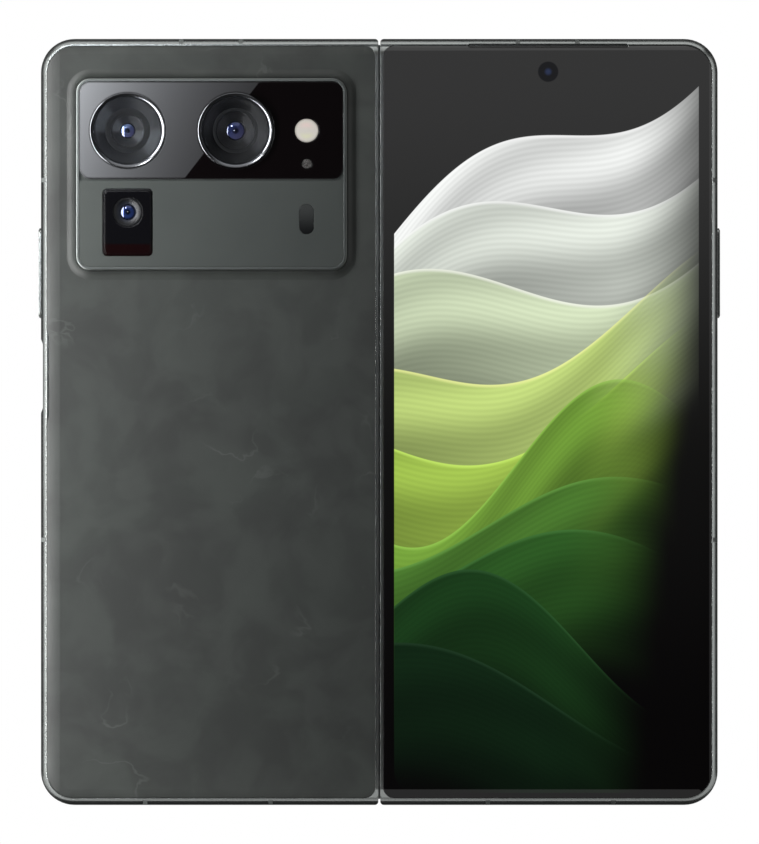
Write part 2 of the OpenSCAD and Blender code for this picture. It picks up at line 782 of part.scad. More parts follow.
module camera_deck() {
    inset = rim_w + inlay_gap;
    r = island_r - inset;
    color([0.33, 0.34, 0.335]) difference() {
        plan(deck_v, deck_back) round_box(island_x0 + inset, island_x1 - inset, island_z0 + inset,
                                          island_z1 - inset, r, r);
        plan(rim_v - 1, deck_v + glass_t + inlay_gap) translate([island_x0, glass_z0 - groove_w])
            square([island_w, island_h]);
        lens_holes(rim_v - 1, deck_back + 1);
        plan(rim_v - 1, deck_back + 1) {
            centred_box(main_x, window_z, window_w + 2 * inlay_gap, window_h + 2 * inlay_gap, 1);
            translate([lamp_x, focus_z]) rotate(90)
                slot_shape(focus_h + 2 * inlay_gap, focus_w + 2 * inlay_gap);
        }
    }
}

module camera_glass() {
    color([0.1, 0.1, 0.11]) difference() {
        plan(deck_v, deck_v + glass_t) glass_plan(0);
        lens_holes(rim_v - 2, 1);
    }
}

// Ring with a bright rim, a seat for its glass and an open bore
module lens_ring(x, z) {
    bore = ring_r - ring_rim - 0.5;
    chamfer = 0.15;
    turned(x, z) difference() {
        polygon([
            [bore, deck_back], [ring_r, deck_back], [ring_r, ring_v + chamfer],
            [ring_r - chamfer, ring_v], [bore, ring_v]
        ]);
        translate([0, ring_v - 1]) square([ring_r - ring_rim, lens_seat_v - ring_v + 1]);
    }
}

module main_lens_ring() {
    color([0.7, 0.72, 0.74]) lens_ring(main_x, lens_z);
}

module portrait_lens_ring() {
    color([0.7, 0.72, 0.74]) lens_ring(portrait_x, lens_z);
}

module lens_glasses() {
    color([0.2, 0.22, 0.3]) for (x = [main_x, portrait_x])
        post(x, lens_z, ring_r - ring_rim - inlay_gap, lens_seat_v - lens_glass_t, lens_seat_v);
}

// Black hood with a sloping cone, a stepped barrel, a domed front element and a housing
module camera_module(x, z, barrel_r, lens_r, housing) {
    hood_r = ring_r - ring_rim - 0.5 - inlay_gap;
    hood_v = lens_seat_v + inlay_gap;
    barrel_v = hood_v + 0.75;
    dome_r = 1.6 * lens_r;
    turned(x, z) {
        polygon([
            [0, deck_back + 0.1], [hood_r, deck_back + 0.1], [hood_r, hood_v], [hood_r - 0.15, hood_v],
            [cone_r, barrel_v], [cone_r, barrel_v + 0.3], [barrel_r, barrel_v + 0.3],
            [barrel_r, barrel_v], [lens_r, barrel_v], [lens_r, barrel_v + 0.45], [0, barrel_v + 0.45]
        ]);
        intersection() {
            translate([0, barrel_v + 0.1 + dome_r]) circle(dome_r);
            translate([0, barrel_v]) square([lens_r - 0.02, 0.6]);
        }
    }
    plan(deck_back, plate_lo - RUN) centred_box(x, z, housing, housing, 1);
}

module main_camera() {
    color([0.08, 0.08, 0.09]) camera_module(main_x, lens_z, 4.2, 3.35, main_housing);
}

module portrait_camera() {
    color([0.08, 0.08, 0.09]) camera_module(portrait_x, lens_z, 4.4, 4, portrait_housing);
}

module wide_camera() {
    z = window_z + wide_lift;
    dome_r = 4;
    color([0.08, 0.08, 0.09]) {
        turned(main_x, z) {
            polygon([
                [0, deck_back], [wide_r - inlay_gap, deck_back], [wide_r - inlay_gap, deck_v + 0.35],
                [wide_r - 0.4, deck_v + 0.35], [2, deck_v + 0.75], [0, deck_v + 0.75]
            ]);
            intersection() {
                translate([0, deck_v + 0.45 + dome_r]) circle(dome_r);
                translate([0, deck_v]) square([1.9, 0.9]);
            }
        }
        plan(deck_back, plate_lo - RUN) centred_box(main_x, z, wide_housing, wide_housing, 1);
    }
}

module wide_camera_window() {
    bevel = 0.4;
    color([0.05, 0.05, 0.06]) difference() {
        union() {
            plan(deck_v + 0.15, deck_back) centred_box(main_x, window_z, window_w, window_h, 1);
            plan(deck_v - 0.05, deck_back)
                centred_box(main_x, window_z, window_w - 2 * bevel, window_h - 2 * bevel, 0.8);
        }
        post(main_x, window_z + wide_lift, wide_r, rim_v - 1, deck_back + 1);
    }
}

module flash_lens() {
    color([0.9, 0.88, 0.84]) {
        post(lamp_x, lens_z, flash_r, deck_v, deck_back);
        post(lamp_x, lens_z, flash_r - 0.3, deck_back, deck_back + 0.3);
    }
}

module light_sensor() {
    color([0.3, 0.3, 0.3]) post(lamp_x, lens_z - sensor_drop, sensor_r, deck_v, deck_back + 0.3);
}

module focus_window() {
    color([0.1, 0.1, 0.1]) plan(deck_v + 0.05, deck_back) translate([lamp_x, focus_z]) rotate(90)
        slot_shape(focus_h, focus_w);
}

// ---------------------------------------------------------------- inside the camera half

board_hi = plate_lo - 2 * RUN;
board_lo = board_hi - board_t;
inside_x0 = cavity_x0 + 1.4;
board_z1 = body_h - frame_wall - board_gap;
board_z = board_z1 - board_h;
low_board_z = frame_wall + board_gap;

module housing_cut(x, z, housing) {
    side = housing + 2 * housing_gap;
    centred_box(x, z, side, side, 1);
}

module main_board() {
    color([0.1, 0.35, 0.2]) {
        difference() {
            plan(board_lo, board_hi) round_box(inside_x0, inside_x1, board_z, board_z1, 3, 1);
            plan(board_lo - 1, board_hi + 1) {
                housing_cut(main_x, lens_z, main_housing);
                housing_cut(portrait_x, lens_z, portrait_housing);
                housing_cut(main_x, window_z + wide_lift, wide_housing);
            }
        }
        post(lamp_x, lens_z, flash_r - 0.3, deck_back + 0.3, board_lo);
        post(lamp_x, lens_z - sensor_drop, sensor_r, deck_back + 0.3, board_lo);
        plan(deck_back, board_lo) centred_box(lamp_x, focus_z, focus_w, focus_h - 1, 0.5);
    }
}

module shield_cans() {
    near_x = lamp_x - focus_w;
    wide_x1 = main_x + wide_housing / 2;
    wide_z0 = window_z + wide_lift - wide_housing / 2;
    can_gap = 3;
    can_z = wide_z0 - 2 * can_gap;
    color([0.75, 0.75, 0.72]) plan(board_lo - can_h, board_lo) {
        round_box(inside_x0 + board_gap, near_x, board_z + board_gap, can_z, 1, 1);
        round_box(wide_x1 + can_gap, near_x, can_z + can_gap,
                  lens_z - portrait_housing / 2 - can_gap, 1, 1);
    }
}

module camera_half_battery() {
    color([0.12, 0.12, 0.13]) plan(cover_t + 0.35, plate_lo - RUN)
        round_box(inside_x0, inside_x1, low_board_z + charging_board_h + battery_gap,
                  board_z - battery_gap, 2, 2);
}

module charging_board() {
    color([0.1, 0.35, 0.2]) plan(mid_v + socket_h / 2 + 0.02, plate_lo - 0.02)
        round_box(inside_x0 + 3, inside_x1, low_board_z, low_board_z + charging_board_h, 1, 1);
}

module socket_plug(w, h, z0, z1) {
    translate([seam_x - socket_side, mid_v - depth_mid, z0]) linear_extrude(z1 - z0) slot_shape(w, h);
}

module usb_socket() {
    color([0.7, 0.7, 0.72]) difference() {
        socket_plug(socket_w, socket_h, socket_set_back, socket_set_back + socket_d);
        socket_plug(socket_w - 2 * socket_wall, socket_h - 2 * socket_wall, -1,
            socket_set_back + socket_d - socket_floor_t);
    }
}

module usb_tongue() {
    color([0.1, 0.1, 0.1])
        translate([seam_x - socket_side, mid_v - depth_mid, socket_set_back + tongue_set_back])
            linear_extrude(socket_d - socket_floor_t - tongue_set_back)
                square([tongue_w, tongue_t], center = true);
}

module loudspeaker() {
    color([0.15, 0.15, 0.15]) plan(panel_back + skin_t + RUN, panel_back + skin_t + RUN + speaker_t)
        centred_box(speaker_x, body_h - frame_wall - 2 * RUN - speaker_h / 2, speaker_w, speaker_h, 0.6);
}

// ---------------------------------------------------------------- keys

flange_t = 0.4;
flange_lip = 0.6;

// Key cap in its slot, with a flange inside the wall and a stub for its switch
module key(z, length, face_x, flange_l) {
    key_slot(z, length, face_x + 0.15, cavity_x0 + RUN, 0);
    key_slot(z, length - 0.3, face_x, cavity_x0, -0.15);
    translate([cavity_x0 + RUN / 2, mid_v - depth_mid - key_w / 2 - flange_lip / 2, z - flange_l / 2])
        cube([flange_t, key_w + flange_lip, flange_l]);
}

module volume_key() {
    color([0.4, 0.42, 0.41]) key(key_z, key_l, outer_x - key_rise, RUN / tan(key_tilt));
}

module power_key() {
    color([0.4, 0.42, 0.41]) key(scoop_z, power_l, outer_x + scoop_d - 0.05, power_l + 1);
}

module side_key() {
    color([0.4, 0.42, 0.41]) right_half() key(key_z, key_l, outer_x - key_rise, key_l + 1);
}

// Strip with one domed switch under each press point
module key_flex(z0, z1, domes) {
    strip_x = cavity_x0 + 2 * RUN + flange_t + key_travel + flex_t;
    cross(strip_x, strip_x + flex_t) translate([mid_v - flex_w / 2, z0]) square([flex_w, z1 - z0]);
    for (z = domes) translate([strip_x, mid_v - depth_mid, z]) rotate([0, -90, 0])
        cylinder(r = switch_r, h = flex_t);
}

module camera_half_key_flex() {
    press = key_l / 3;
    color([0.6, 0.4, 0.15]) key_flex(scoop_z - power_l / 2, key_z + key_l / 2,
                                      [scoop_z, key_z - press, key_z + press]);
}

module display_half_key_flex() {
    color([0.6, 0.4, 0.15]) right_half() key_flex(key_z - key_l / 2, key_z + key_l / 2, [key_z]);
}

// ---------------------------------------------------------------- inner screen side

// Everything in front of the bezel's curved face is cut away
module bezel_block() {
    curve_len = sqrt(2 * bezel_curve_r * inner_drop - pow(inner_drop, 2));
    x_flat = outer_x + bezel_inset + curve_len;
    z_flat = bezel_inset + curve_len;
    centre_v = half_t - bezel_curve_r + 0.01;
    intersection() {
        rail(-1, body_h + 1) intersection() {
            union() {
                translate([x_flat, centre_v]) circle(bezel_curve_r);
                translate([x_flat, screen_lo - 1]) square([half_w, half_t]);
            }
            translate([outer_x, screen_lo]) square([half_w + 5, half_t - screen_lo]);
        }
        cross(outer_x - 2, 5) intersection() {
            union() {
                translate([centre_v, z_flat]) circle(bezel_curve_r);
                translate([screen_lo - 1, z_flat]) square([half_t, body_h - 2 * z_flat]);
                translate([centre_v, body_h - z_flat]) circle(bezel_curve_r);
            }
            translate([screen_lo, -1]) square([half_t - screen_lo, body_h + 2]);
        }
    }
}

module bezel() {
    difference() {
        intersection() {
            bezel_block();
            plan(screen_lo, half_t) inner_plan(bezel_inset + screen_gap);
        }
        plan(screen_lo - 1, screen_hi + screen_gap) inner_plan(bezel_inset + screen_hide - screen_gap);
        plan(screen_lo - 1, half_t + 1) inner_plan(bezel_inset + bezel_w);
        plan(-1, half_t + 1) translate([seam_x, -1]) square([10, body_h + 2]);
        fold_relief();
    }
}

module camera_half_bezel() {
    color([0.08, 0.08, 0.08]) bezel();
}

module display_half_bezel() {
    color([0.08, 0.08, 0.08]) right_half() bezel();
}

module half_screen() {
    inset = bezel_inset + screen_hide;
    plan(screen_lo, screen_hi) intersection() {
        inner_plan(inset);
        translate([outer_x, 0]) square([-fold_zone - outer_x, body_h]);
    }
}

module camera_half_screen() {
    color([0.03, 0.03, 0.04]) half_screen();
}

module display_half_screen() {
    color([0.03, 0.03, 0.04]) right_half() difference() {
        half_screen();
        post(inner_camera_x, inner_camera_z, inner_camera_r, 0, half_t + 1);
    }
}

module folding_screen() {
    inset = bezel_inset + screen_hide;
    color([0.03, 0.03, 0.04]) plan(screen_lo, screen_hi) translate([-fold_zone, inset])
        square([2 * fold_zone, body_h - 2 * inset]);
}

module wing_plate() {
    wing_x0 = axis_x - pocket_r + RUN;
    wing_z0 = spine_z0 + spine_end_t + RUN;
    notch_x0 = axis_x - knuckle_r - 0.3;
    difference() {
        plan(plate_lo, screen_lo - screen_gap) translate([wing_x0, wing_z0])
            square([seam_x - wing_x0, body_h - 2 * wing_z0]);
        fold_relief();
        for (bz = bracket_z) plan(0, half_t)
            translate([notch_x0, bz - bracket_half - 0.3]) square([5, 2 * bracket_half + 0.6]);
    }
}

module camera_half_wing_plate() {
    color([0.65, 0.65, 0.67]) wing_plate();
}

module display_half_wing_plate() {
    color([0.65, 0.65, 0.67]) right_half() wing_plate();
}

// ---------------------------------------------------------------- hinge

// Cross section of the spine: two arcs about the fold axes joined by a flat
module spine_section(r, top) {
    quarter(axis_x, axis_v, -1, -1, r);
    quarter(-axis_x, axis_v, 1, -1, r);
    translate([axis_x, axis_v - r]) square([-2 * axis_x, r]);
    translate([axis_x - r, axis_v - 0.5]) square([2 * (r - axis_x), 0.5 + top]);
}

module below_rim() {
    translate([-BIG / 2, 0]) square([BIG, axis_v - rim_drop]);
}

module spine_cover() {
    color([0.3, 0.31, 0.31]) difference() {
        rail(spine_z0, spine_z1) intersection() {
            spine_section(spine_r, 0);
            below_rim();
        }
        rail(spine_z0 + spine_end_t, spine_z1 - spine_end_t) spine_section(spine_in_r, 1);
        for (s = [-1, 1]) shaft(s * axis_x, axis_v, relief_r + RUN, 0, body_h);
        for (bz = bracket_z, s = [-1, 1])
            post(0, bz + s * arm_shift, 0.4, axis_v - spine_r + 0.15, axis_v);
    }
}

// Floor, four ears with two shaft bores and, in the middle bay, two pin bores
module hinge_brackets() {
    floor_r = spine_in_r - screen_gap;
    filled_v = axis_v - knuckle_r - 0.25;
    thin_v = axis_v - spine_in_r + 0.15;
    color([0.5, 0.5, 0.52]) for (bz = bracket_z) difference() {
        union() {
            rail(bz - bracket_half, bz + bracket_half) {
                intersection() {
                    spine_section(floor_r, 0);
                    translate([-BIG / 2, 0]) square([BIG, filled_v]);
                }
            }
            for (s = [-1, 1], ear = [gear_w / 2 + side_play, bracket_half - ear_t]) {
                z0 = bz + (s > 0 ? ear : -ear - ear_t);
                rail(z0, z0 + ear_t) {
                    intersection() {
                        spine_section(floor_r, 0);
                        translate([-BIG / 2, 0]) square([BIG, axis_v - 0.5]);
                    }
                    for (m = [-1, 1]) {
                        translate([m * axis_x, axis_v]) circle(knuckle_r);
                        translate([m * axis_x - knuckle_r, axis_v - 1]) square([2 * knuckle_r, 1]);
                    }
                }
            }
        }
        rail(bz - gear_w / 2 - side_play, bz + gear_w / 2 + side_play)
            translate([-BIG / 2, thin_v]) square([BIG, half_t]);
        for (m = [-1, 1]) {
            shaft(m * axis_x, axis_v, shaft_r + bore_gap, bz - bracket_half - 1, bz + bracket_half + 1);
            shaft(m * idler_x, idler_v, pin_r + 0.02, bz - pin_half, bz + pin_half);
            post(0, bz + m * arm_shift, 0.45, 0, half_t);
            post(0, bz + m * arm_shift, 1, filled_v - 0.4, half_t);
        }
    }
}

module bracket_screws() {
    filled_v = axis_v - knuckle_r - 0.25;
    color([0.55, 0.55, 0.57]) for (bz = bracket_z, s = [-1, 1]) difference() {
        union() {
            post(0, bz + s * arm_shift, 0.4, axis_v - spine_r + 0.2, filled_v - 0.4);
            post(0, bz + s * arm_shift, 0.85, filled_v - 0.4, filled_v - 0.05);
        }
        translate([0, filled_v - 0.2 - depth_mid, bz + s * arm_shift]) rotate([-90, 0, 0])
            cylinder(r = 0.4, h = 1, $fn = 6);
    }
}

// Pitch radii, and the idlers' place below and between the fold axes
shaft_pitch_r = shaft_teeth * tooth_m / 2;
idler_pitch_r = idler_teeth * tooth_m / 2;
idler_x = -idler_pitch_r;
idler_dx = idler_x - axis_x;
idler_v = axis_v - sqrt(pow(shaft_pitch_r + idler_pitch_r, 2) - pow(idler_dx, 2));
pin_half = gear_w / 2 + side_play + ear_t;

// Turn of a shaft gear that lets its gap meet the idler's tooth
function mesh_turn(line) = line + (180 - idler_teeth * (-line - 180)) / shaft_teeth;

module gear_section(teeth, turn) {
    pitch_r = teeth * tooth_m / 2;
    root_r = pitch_r - 1.15 * tooth_m;
    tip_r = pitch_r + 0.8 * tooth_m;
    half_root = 0.62 * tooth_m;
    half_tip = 0.24 * tooth_m;
    circle(root_r);
    for (i = [0 : teeth - 1]) rotate(turn + i * 360 / teeth) polygon([
        [root_r - 0.05, -half_root], [tip_r, -half_tip], [tip_r, half_tip], [root_r - 0.05, half_root]
    ]);
}

// A shaft through all four ears, with its gear cut on it in the middle bay
module gear_shafts(side) {
    line = side < 0 ? atan2(idler_v - axis_v, idler_dx) : atan2(idler_v - axis_v, -idler_dx);
    for (bz = bracket_z) {
        shaft(-side * axis_x, axis_v, shaft_r, bz - bracket_half, bz + bracket_half);
        rail(bz - gear_w / 2, bz + gear_w / 2) translate([-side * axis_x, axis_v])
            gear_section(shaft_teeth, mesh_turn(line));
    }
}

module camera_half_gear_shafts() {
    color([0.72, 0.72, 0.7]) gear_shafts(-1);
}

module display_half_gear_shafts() {
    color([0.72, 0.72, 0.7]) gear_shafts(1);
}

module idler_gears(side) {
    for (bz = bracket_z) rail(bz - gear_w / 2, bz + gear_w / 2)
        translate([-side * idler_x, idler_v]) difference() {
            gear_section(idler_teeth, 0);
            circle(pin_r + bore_gap);
        }
}

module left_idler_gears() {
    color([0.8, 0.7, 0.4]) idler_gears(-1);
}

module right_idler_gears() {
    color([0.8, 0.7, 0.4]) idler_gears(1);
}

module idler_pins() {
    color([0.6, 0.6, 0.62]) for (bz = bracket_z, s = [-1, 1])
        shaft(s * idler_x, idler_v, pin_r, bz - pin_half, bz + pin_half);
}

// Plate screwed under the mid plate, with two fingers that reach the fold axis
module hinge_arms() {
    base_x0 = axis_x - arm_reach;
    for (bz = bracket_z) difference() {
        union() {
            plan(arm_lo, plate_lo) translate([base_x0, bz - base_half])
                square([cavity_x1 - RUN - base_x0, 2 * base_half]);
            for (s = [-1, 1]) rail(bz + s * arm_shift - arm_w / 2, bz + s * arm_shift + arm_w / 2) {
                translate([cavity_x1 - 0.5, arm_lo]) square([axis_x - cavity_x1 + 0.5, arm_t]);
                translate([axis_x, axis_v]) circle(knuckle_r);
            }
        }
        shaft(axis_x, axis_v, shaft_r, bz - bracket_half, bz + bracket_half);
        for (s = [-1, 1]) post(arm_screw_x, bz + s * arm_screw_shift, 0.5, 0, half_t);
    }
}

module camera_half_hinge_arms() {
    color([0.45, 0.45, 0.47]) hinge_arms();
}

module display_half_hinge_arms() {
    color([0.45, 0.45, 0.47]) right_half() hinge_arms();
}

module arm_screws() {
    for (bz = bracket_z, s = [-1, 1]) difference() {
        union() {
            post(arm_screw_x, bz + s * arm_screw_shift, 0.45, arm_lo, screen_lo - screen_gap);
            post(arm_screw_x, bz + s * arm_screw_shift, 0.9, arm_lo - 0.4, arm_lo);
        }
        translate([arm_screw_x, arm_lo - 1 - depth_mid, bz + s * arm_screw_shift]) rotate([-90, 0, 0])
            cylinder(r = 0.45, h = 0.8, $fn = 6);
    }
}

module camera_half_arm_screws() {
    color([0.55, 0.55, 0.57]) arm_screws();
}

module display_half_arm_screws() {
    color([0.55, 0.55, 0.57]) right_half() arm_screws();
}

// ---------------------------------------------------------------- display half

// Depth at which the inside of the display half starts, behind the display panel
display_inside_lo = panel_back + cover_panel_t + panel_seat + skin_t;

module earpiece_plan(grow) {
    slot_shape(earpiece_w + 2 * grow, 2 * earpiece_h + 2 * grow);
}

module display_plan(grow) {
    side = side_inset + panel_side_inset - grow;
    end = end_inset + panel_end_inset - grow;
    round_box(outer_x + side, seam_x - seam_inset - panel_seam_inset + grow,
              end, body_h - end, corner_r - side, 1 + grow);
}

module cover_glass() {
    color([0.04, 0.04, 0.05]) right_half() difference() {
        panel_shell(false);
        plan(-1, cover_t + 1) translate([cover_camera_x, body_h - end_inset]) earpiece_plan(0);
    }
}

module cover_display_panel() {
    color([0.1, 0.2, 0.08]) right_half() difference() {
        plan(panel_back, panel_back + cover_panel_t) display_plan(0);
        post(cover_camera_x, cover_camera_z, cover_camera_r + 0.2, 0, 2);
    }
}

module cover_camera() {
    color([0.05, 0.05, 0.08]) right_half() {
        post(cover_camera_x, cover_camera_z, cover_camera_r, panel_back, 2.2);
        plan(2.2, plate_lo - RUN)
            centred_box(cover_camera_x, cover_camera_z, small_housing, small_housing, 0.5);
    }
}

module earpiece_grille() {
    color([0.1, 0.1, 0.1]) right_half() plan(0.3, cover_t + 0.3)
        translate([cover_camera_x, body_h - end_inset]) intersection() {
            earpiece_plan(-screen_gap);
            translate([-BIG / 2, -earpiece_h * 2]) square([BIG, earpiece_h * 2 + screen_gap]);
        }
}

module earpiece_receiver() {
    color([0.2, 0.2, 0.2]) right_half() plan(display_inside_lo, display_inside_lo + receiver_t)
        centred_box(cover_camera_x + small_housing / 2 + board_gap + receiver_w / 2,
                    board_z1 - speaker_h / 2, receiver_w, speaker_h, 0.8);
}

module display_half_battery() {
    top_z = min(inner_camera_z, cover_camera_z) - small_housing / 2 - battery_gap;
    color([0.12, 0.12, 0.13]) right_half() plan(display_inside_lo, plate_lo - RUN)
        round_box(inside_x0, inside_x1, low_board_z + sub_board_h + battery_gap, top_z, 2, 2);
}

module sub_board() {
    tray_x = seam_x - tray_side;
    reader_z = low_board_z + reader_gap;
    reader_w = tray_w - 2 * tray_step + 2 * reader_gap;
    reader_l = tray_sheet_z + tray_l + 2 * reader_gap + reader_wall - reader_z;
    color([0.1, 0.35, 0.2]) right_half() {
        plan(board_lo, board_hi)
            round_box(inside_x0, inside_x1, low_board_z, low_board_z + sub_board_h, 3, 1);
        plan(mid_v - tray_t, board_lo) difference() {
            centred_box(tray_x, reader_z + reader_l / 2, reader_w + 2 * reader_wall, reader_l, 0.4);
            centred_box(tray_x, reader_z - reader_wall, reader_w, 2 * reader_l, 0.3);
        }
    }
}

module card_tray() {
    tray_x = seam_x - tray_side;
    sheet_w = tray_w - 2 * tray_step;
    color([0.36, 0.38, 0.37]) right_half() {
        intersection() {
            half_form();
            translate([tray_x, mid_v - depth_mid, -1]) linear_extrude(tray_face_d + 1)
                slot_shape(tray_w, tray_face_t);
        }
        difference() {
            plan(mid_v - tray_t / 2, mid_v + tray_t / 2)
                translate([tray_x - sheet_w / 2, tray_sheet_z]) square([sheet_w, tray_l]);
            plan(mid_v - tray_t, mid_v + tray_t)
                centred_box(tray_x, tray_sheet_z + (tray_l + tray_rim) / 2, sheet_w - 2 * tray_rim,
                            tray_l - 3 * tray_rim, 1);
        }
    }
}

module vibration_motor() {
    color([0.7, 0.7, 0.7]) right_half() plan(board_lo - motor_t, board_lo)
        centred_box(inside_x0 + board_gap + motor_w / 2, low_board_z + sub_board_h / 2, motor_w, motor_h, 1);
}

module inner_camera() {
    color([0.05, 0.05, 0.08]) right_half() {
        post(inner_camera_x, inner_camera_z, inner_camera_r - 0.15, plate_lo - 1, screen_hi - 0.15);
        plan(plate_lo - 3, plate_lo - RUN)
            centred_box(inner_camera_x, inner_camera_z, small_housing, small_housing, 0.5);
    }
}

camera_half_frame();
camera_half_antenna_bands();
rear_cover();
camera_rim();
camera_deck();
camera_glass();
main_lens_ring();
portrait_lens_ring();
lens_glasses();
main_camera();
portrait_camera();
wide_camera();
wide_camera_window();
flash_lens();
light_sensor();
focus_window();
main_board();
shield_cans();
camera_half_battery();
charging_board();
usb_socket();
usb_tongue();
loudspeaker();
volume_key();
power_key();
camera_half_key_flex();
camera_half_bezel();
camera_half_screen();
camera_half_wing_plate();
camera_half_hinge_arms();
camera_half_gear_shafts();
camera_half_arm_screws();
spine_cover();
hinge_brackets();
bracket_screws();
left_idler_gears();
right_idler_gears();
idler_pins();
folding_screen();
display_half_frame();
display_half_antenna_bands();
cover_glass();
cover_display_panel();
cover_camera();
earpiece_grille();
earpiece_receiver();
display_half_battery();
sub_board();
side_key();
display_half_key_flex();
card_tray();
vibration_motor();
inner_camera();
display_half_bezel();
display_half_screen();
display_half_wing_plate();
display_half_hinge_arms();
display_half_gear_shafts();
display_half_arm_screws();
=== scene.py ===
from math import pi, radians

import bpy
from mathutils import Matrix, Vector


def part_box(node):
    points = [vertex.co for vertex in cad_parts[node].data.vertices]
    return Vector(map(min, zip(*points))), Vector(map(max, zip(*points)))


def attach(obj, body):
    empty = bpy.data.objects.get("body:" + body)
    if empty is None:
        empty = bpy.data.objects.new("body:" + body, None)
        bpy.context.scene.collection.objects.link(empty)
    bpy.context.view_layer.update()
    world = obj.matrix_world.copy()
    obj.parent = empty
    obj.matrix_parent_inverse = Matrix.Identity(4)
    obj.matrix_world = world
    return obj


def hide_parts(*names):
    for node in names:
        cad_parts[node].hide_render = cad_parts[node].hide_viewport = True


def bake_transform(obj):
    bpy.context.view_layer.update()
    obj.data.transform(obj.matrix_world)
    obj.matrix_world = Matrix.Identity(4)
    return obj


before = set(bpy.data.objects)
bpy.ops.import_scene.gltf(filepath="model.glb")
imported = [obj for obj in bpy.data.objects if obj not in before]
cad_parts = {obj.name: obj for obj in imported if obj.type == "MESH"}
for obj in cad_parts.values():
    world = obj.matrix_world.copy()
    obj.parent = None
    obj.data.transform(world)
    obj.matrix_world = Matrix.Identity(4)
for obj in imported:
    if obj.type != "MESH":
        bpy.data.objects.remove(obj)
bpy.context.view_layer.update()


# ---------------------------------------------------------------- the two frames
# Each half has a machined aluminium frame, dyed graphite and bead-blasted, whose
# crowned sides are left smooth enough to hold a soft reflection. The edges of
# every milled step are broken by a hair, which a rounded shading normal shows.

MM = 0.001


def seen(red, green, blue):
    """A colour as it looks on a screen, from 0 to 255, in the linear form that shaders use."""
    shares = [c / 255 for c in (red, green, blue)]
    return tuple(s / 12.92 if s < 0.04045 else ((s + 0.055) / 1.055) ** 2.4 for s in shares) + (1,)


class Wire:
    """A node's output. A sum written with it adds Math nodes to the finish that it belongs to."""

    def __init__(self, finish, socket):
        self.finish = finish
        self.socket = socket

    def maths(self, operation, *values):
        return self.finish.node("ShaderNodeMath", {"operation": operation}, dict(enumerate(values)))

    def __add__(self, other):
        return self.maths("ADD", self, other)

    def __sub__(self, other):
        return self.maths("SUBTRACT", self, other)

    def __rsub__(self, other):
        return self.maths("SUBTRACT", other, self)

    def __mul__(self, other):
        return self.maths("MULTIPLY", self, other)

    def __truediv__(self, other):
        return self.maths("DIVIDE", self, other)

    def __pow__(self, other):
        return self.maths("POWER", self, other)

    def __abs__(self):
        return self.maths("ABSOLUTE", self)

    __radd__ = __add__
    __rmul__ = __mul__

    def wave(self):
        return self.maths("SINE", self)

    def rise(self, low, high):
        """0 below low, 1 above high, and a smooth slope between them."""
        return self.finish.node("ShaderNodeMapRange", {"interpolation_type": "SMOOTHSTEP"},
                                {"Value": self, "From Min": low, "From Max": high})


class Finish:
    """A material: its shader's constants, and the nodes that vary them over the surface."""

    def __init__(self, name, constants):
        self.material = bpy.data.materials.new(name)
        self.material.use_nodes = True
        self.tree = self.material.node_tree
        self.shader = self.tree.nodes["Principled BSDF"]
        for socket, value in constants.items():
            self.shader.inputs[socket].default_value = value

    def node(self, kind, settings, inputs, output=0):
        node = self.tree.nodes.new(kind)
        for name, value in settings.items():
            setattr(node, name, value)
        for name, value in inputs.items():
            if isinstance(value, Wire):
                self.tree.links.new(value.socket, node.inputs[name])
            else:
                node.inputs[name].default_value = value
        return Wire(self, node.outputs[output])

    def drive(self, **wires):
        """Links wires to the shader's sockets, which are named with an underscore for a space."""
        for name, wire in wires.items():
            self.tree.links.new(wire.socket, self.shader.inputs[name.replace("_", " ")])

    def place(self):
        return self.node("ShaderNodeTexCoord", {}, {}, "Object")

    def millimetres(self):
        """The place on the object along X, Y and Z."""
        scaled = self.node("ShaderNodeVectorMath", {"operation": "SCALE"},
                           {0: self.place(), "Scale": 1 / MM})
        return [self.node("ShaderNodeSeparateXYZ", {}, {0: scaled}, axis) for axis in range(3)]

    def noise(self, size, detail=2, where=None, distortion=0):
        """Even grey clouds of about that size in millimetres."""
        return self.node("ShaderNodeTexNoise", {},
                         {"Vector": where or self.place(), "Scale": 1 / (size * MM),
                          "Detail": detail, "Distortion": distortion})

    def mix(self, share, first, second):
        return self.node("ShaderNodeMix", {"data_type": "RGBA"}, {0: share, 6: first, 7: second}, 2)

    def rounded(self, radius):
        """The normal with every edge rounded by that many millimetres."""
        return self.node("ShaderNodeBevel", {}, {"Radius": radius * MM})

    def relief(self, height, depth, normal=None):
        """A normal that follows a height of 0 to 1 as a relief of that depth in millimetres."""
        inputs = {"Height": height, "Distance": depth * MM, "Strength": 1.0}
        if normal:
            inputs["Normal"] = normal
        return self.node("ShaderNodeBump", {}, inputs)

    def most(self, first, second):
        return self.node("ShaderNodeMath", {"operation": "MAXIMUM"}, {0: first, 1: second})

    def coat_nodes(self, *names):
        for name in names:
            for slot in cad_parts[name].material_slots:
                slot.material = self.material


graphite = Finish("graphite_metal", {"Base Color": seen(176, 180, 178), "Metallic": 1.0,
                                     "Roughness": 0.24})
graphite.drive(Roughness=0.2 + 0.08 * graphite.noise(3, 3),
               Normal=graphite.relief(graphite.noise(0.12), 0.0004, graphite.rounded(0.12)))
graphite.coat_nodes("camera_half_frame", "display_half_frame")


# ---------------------------------------------------------------- antenna bands
# Short plugs of grey nylon that split the frame's edges so that it can act as an
# aerial. They are moulded into slots and milled flush, so they follow the crown.

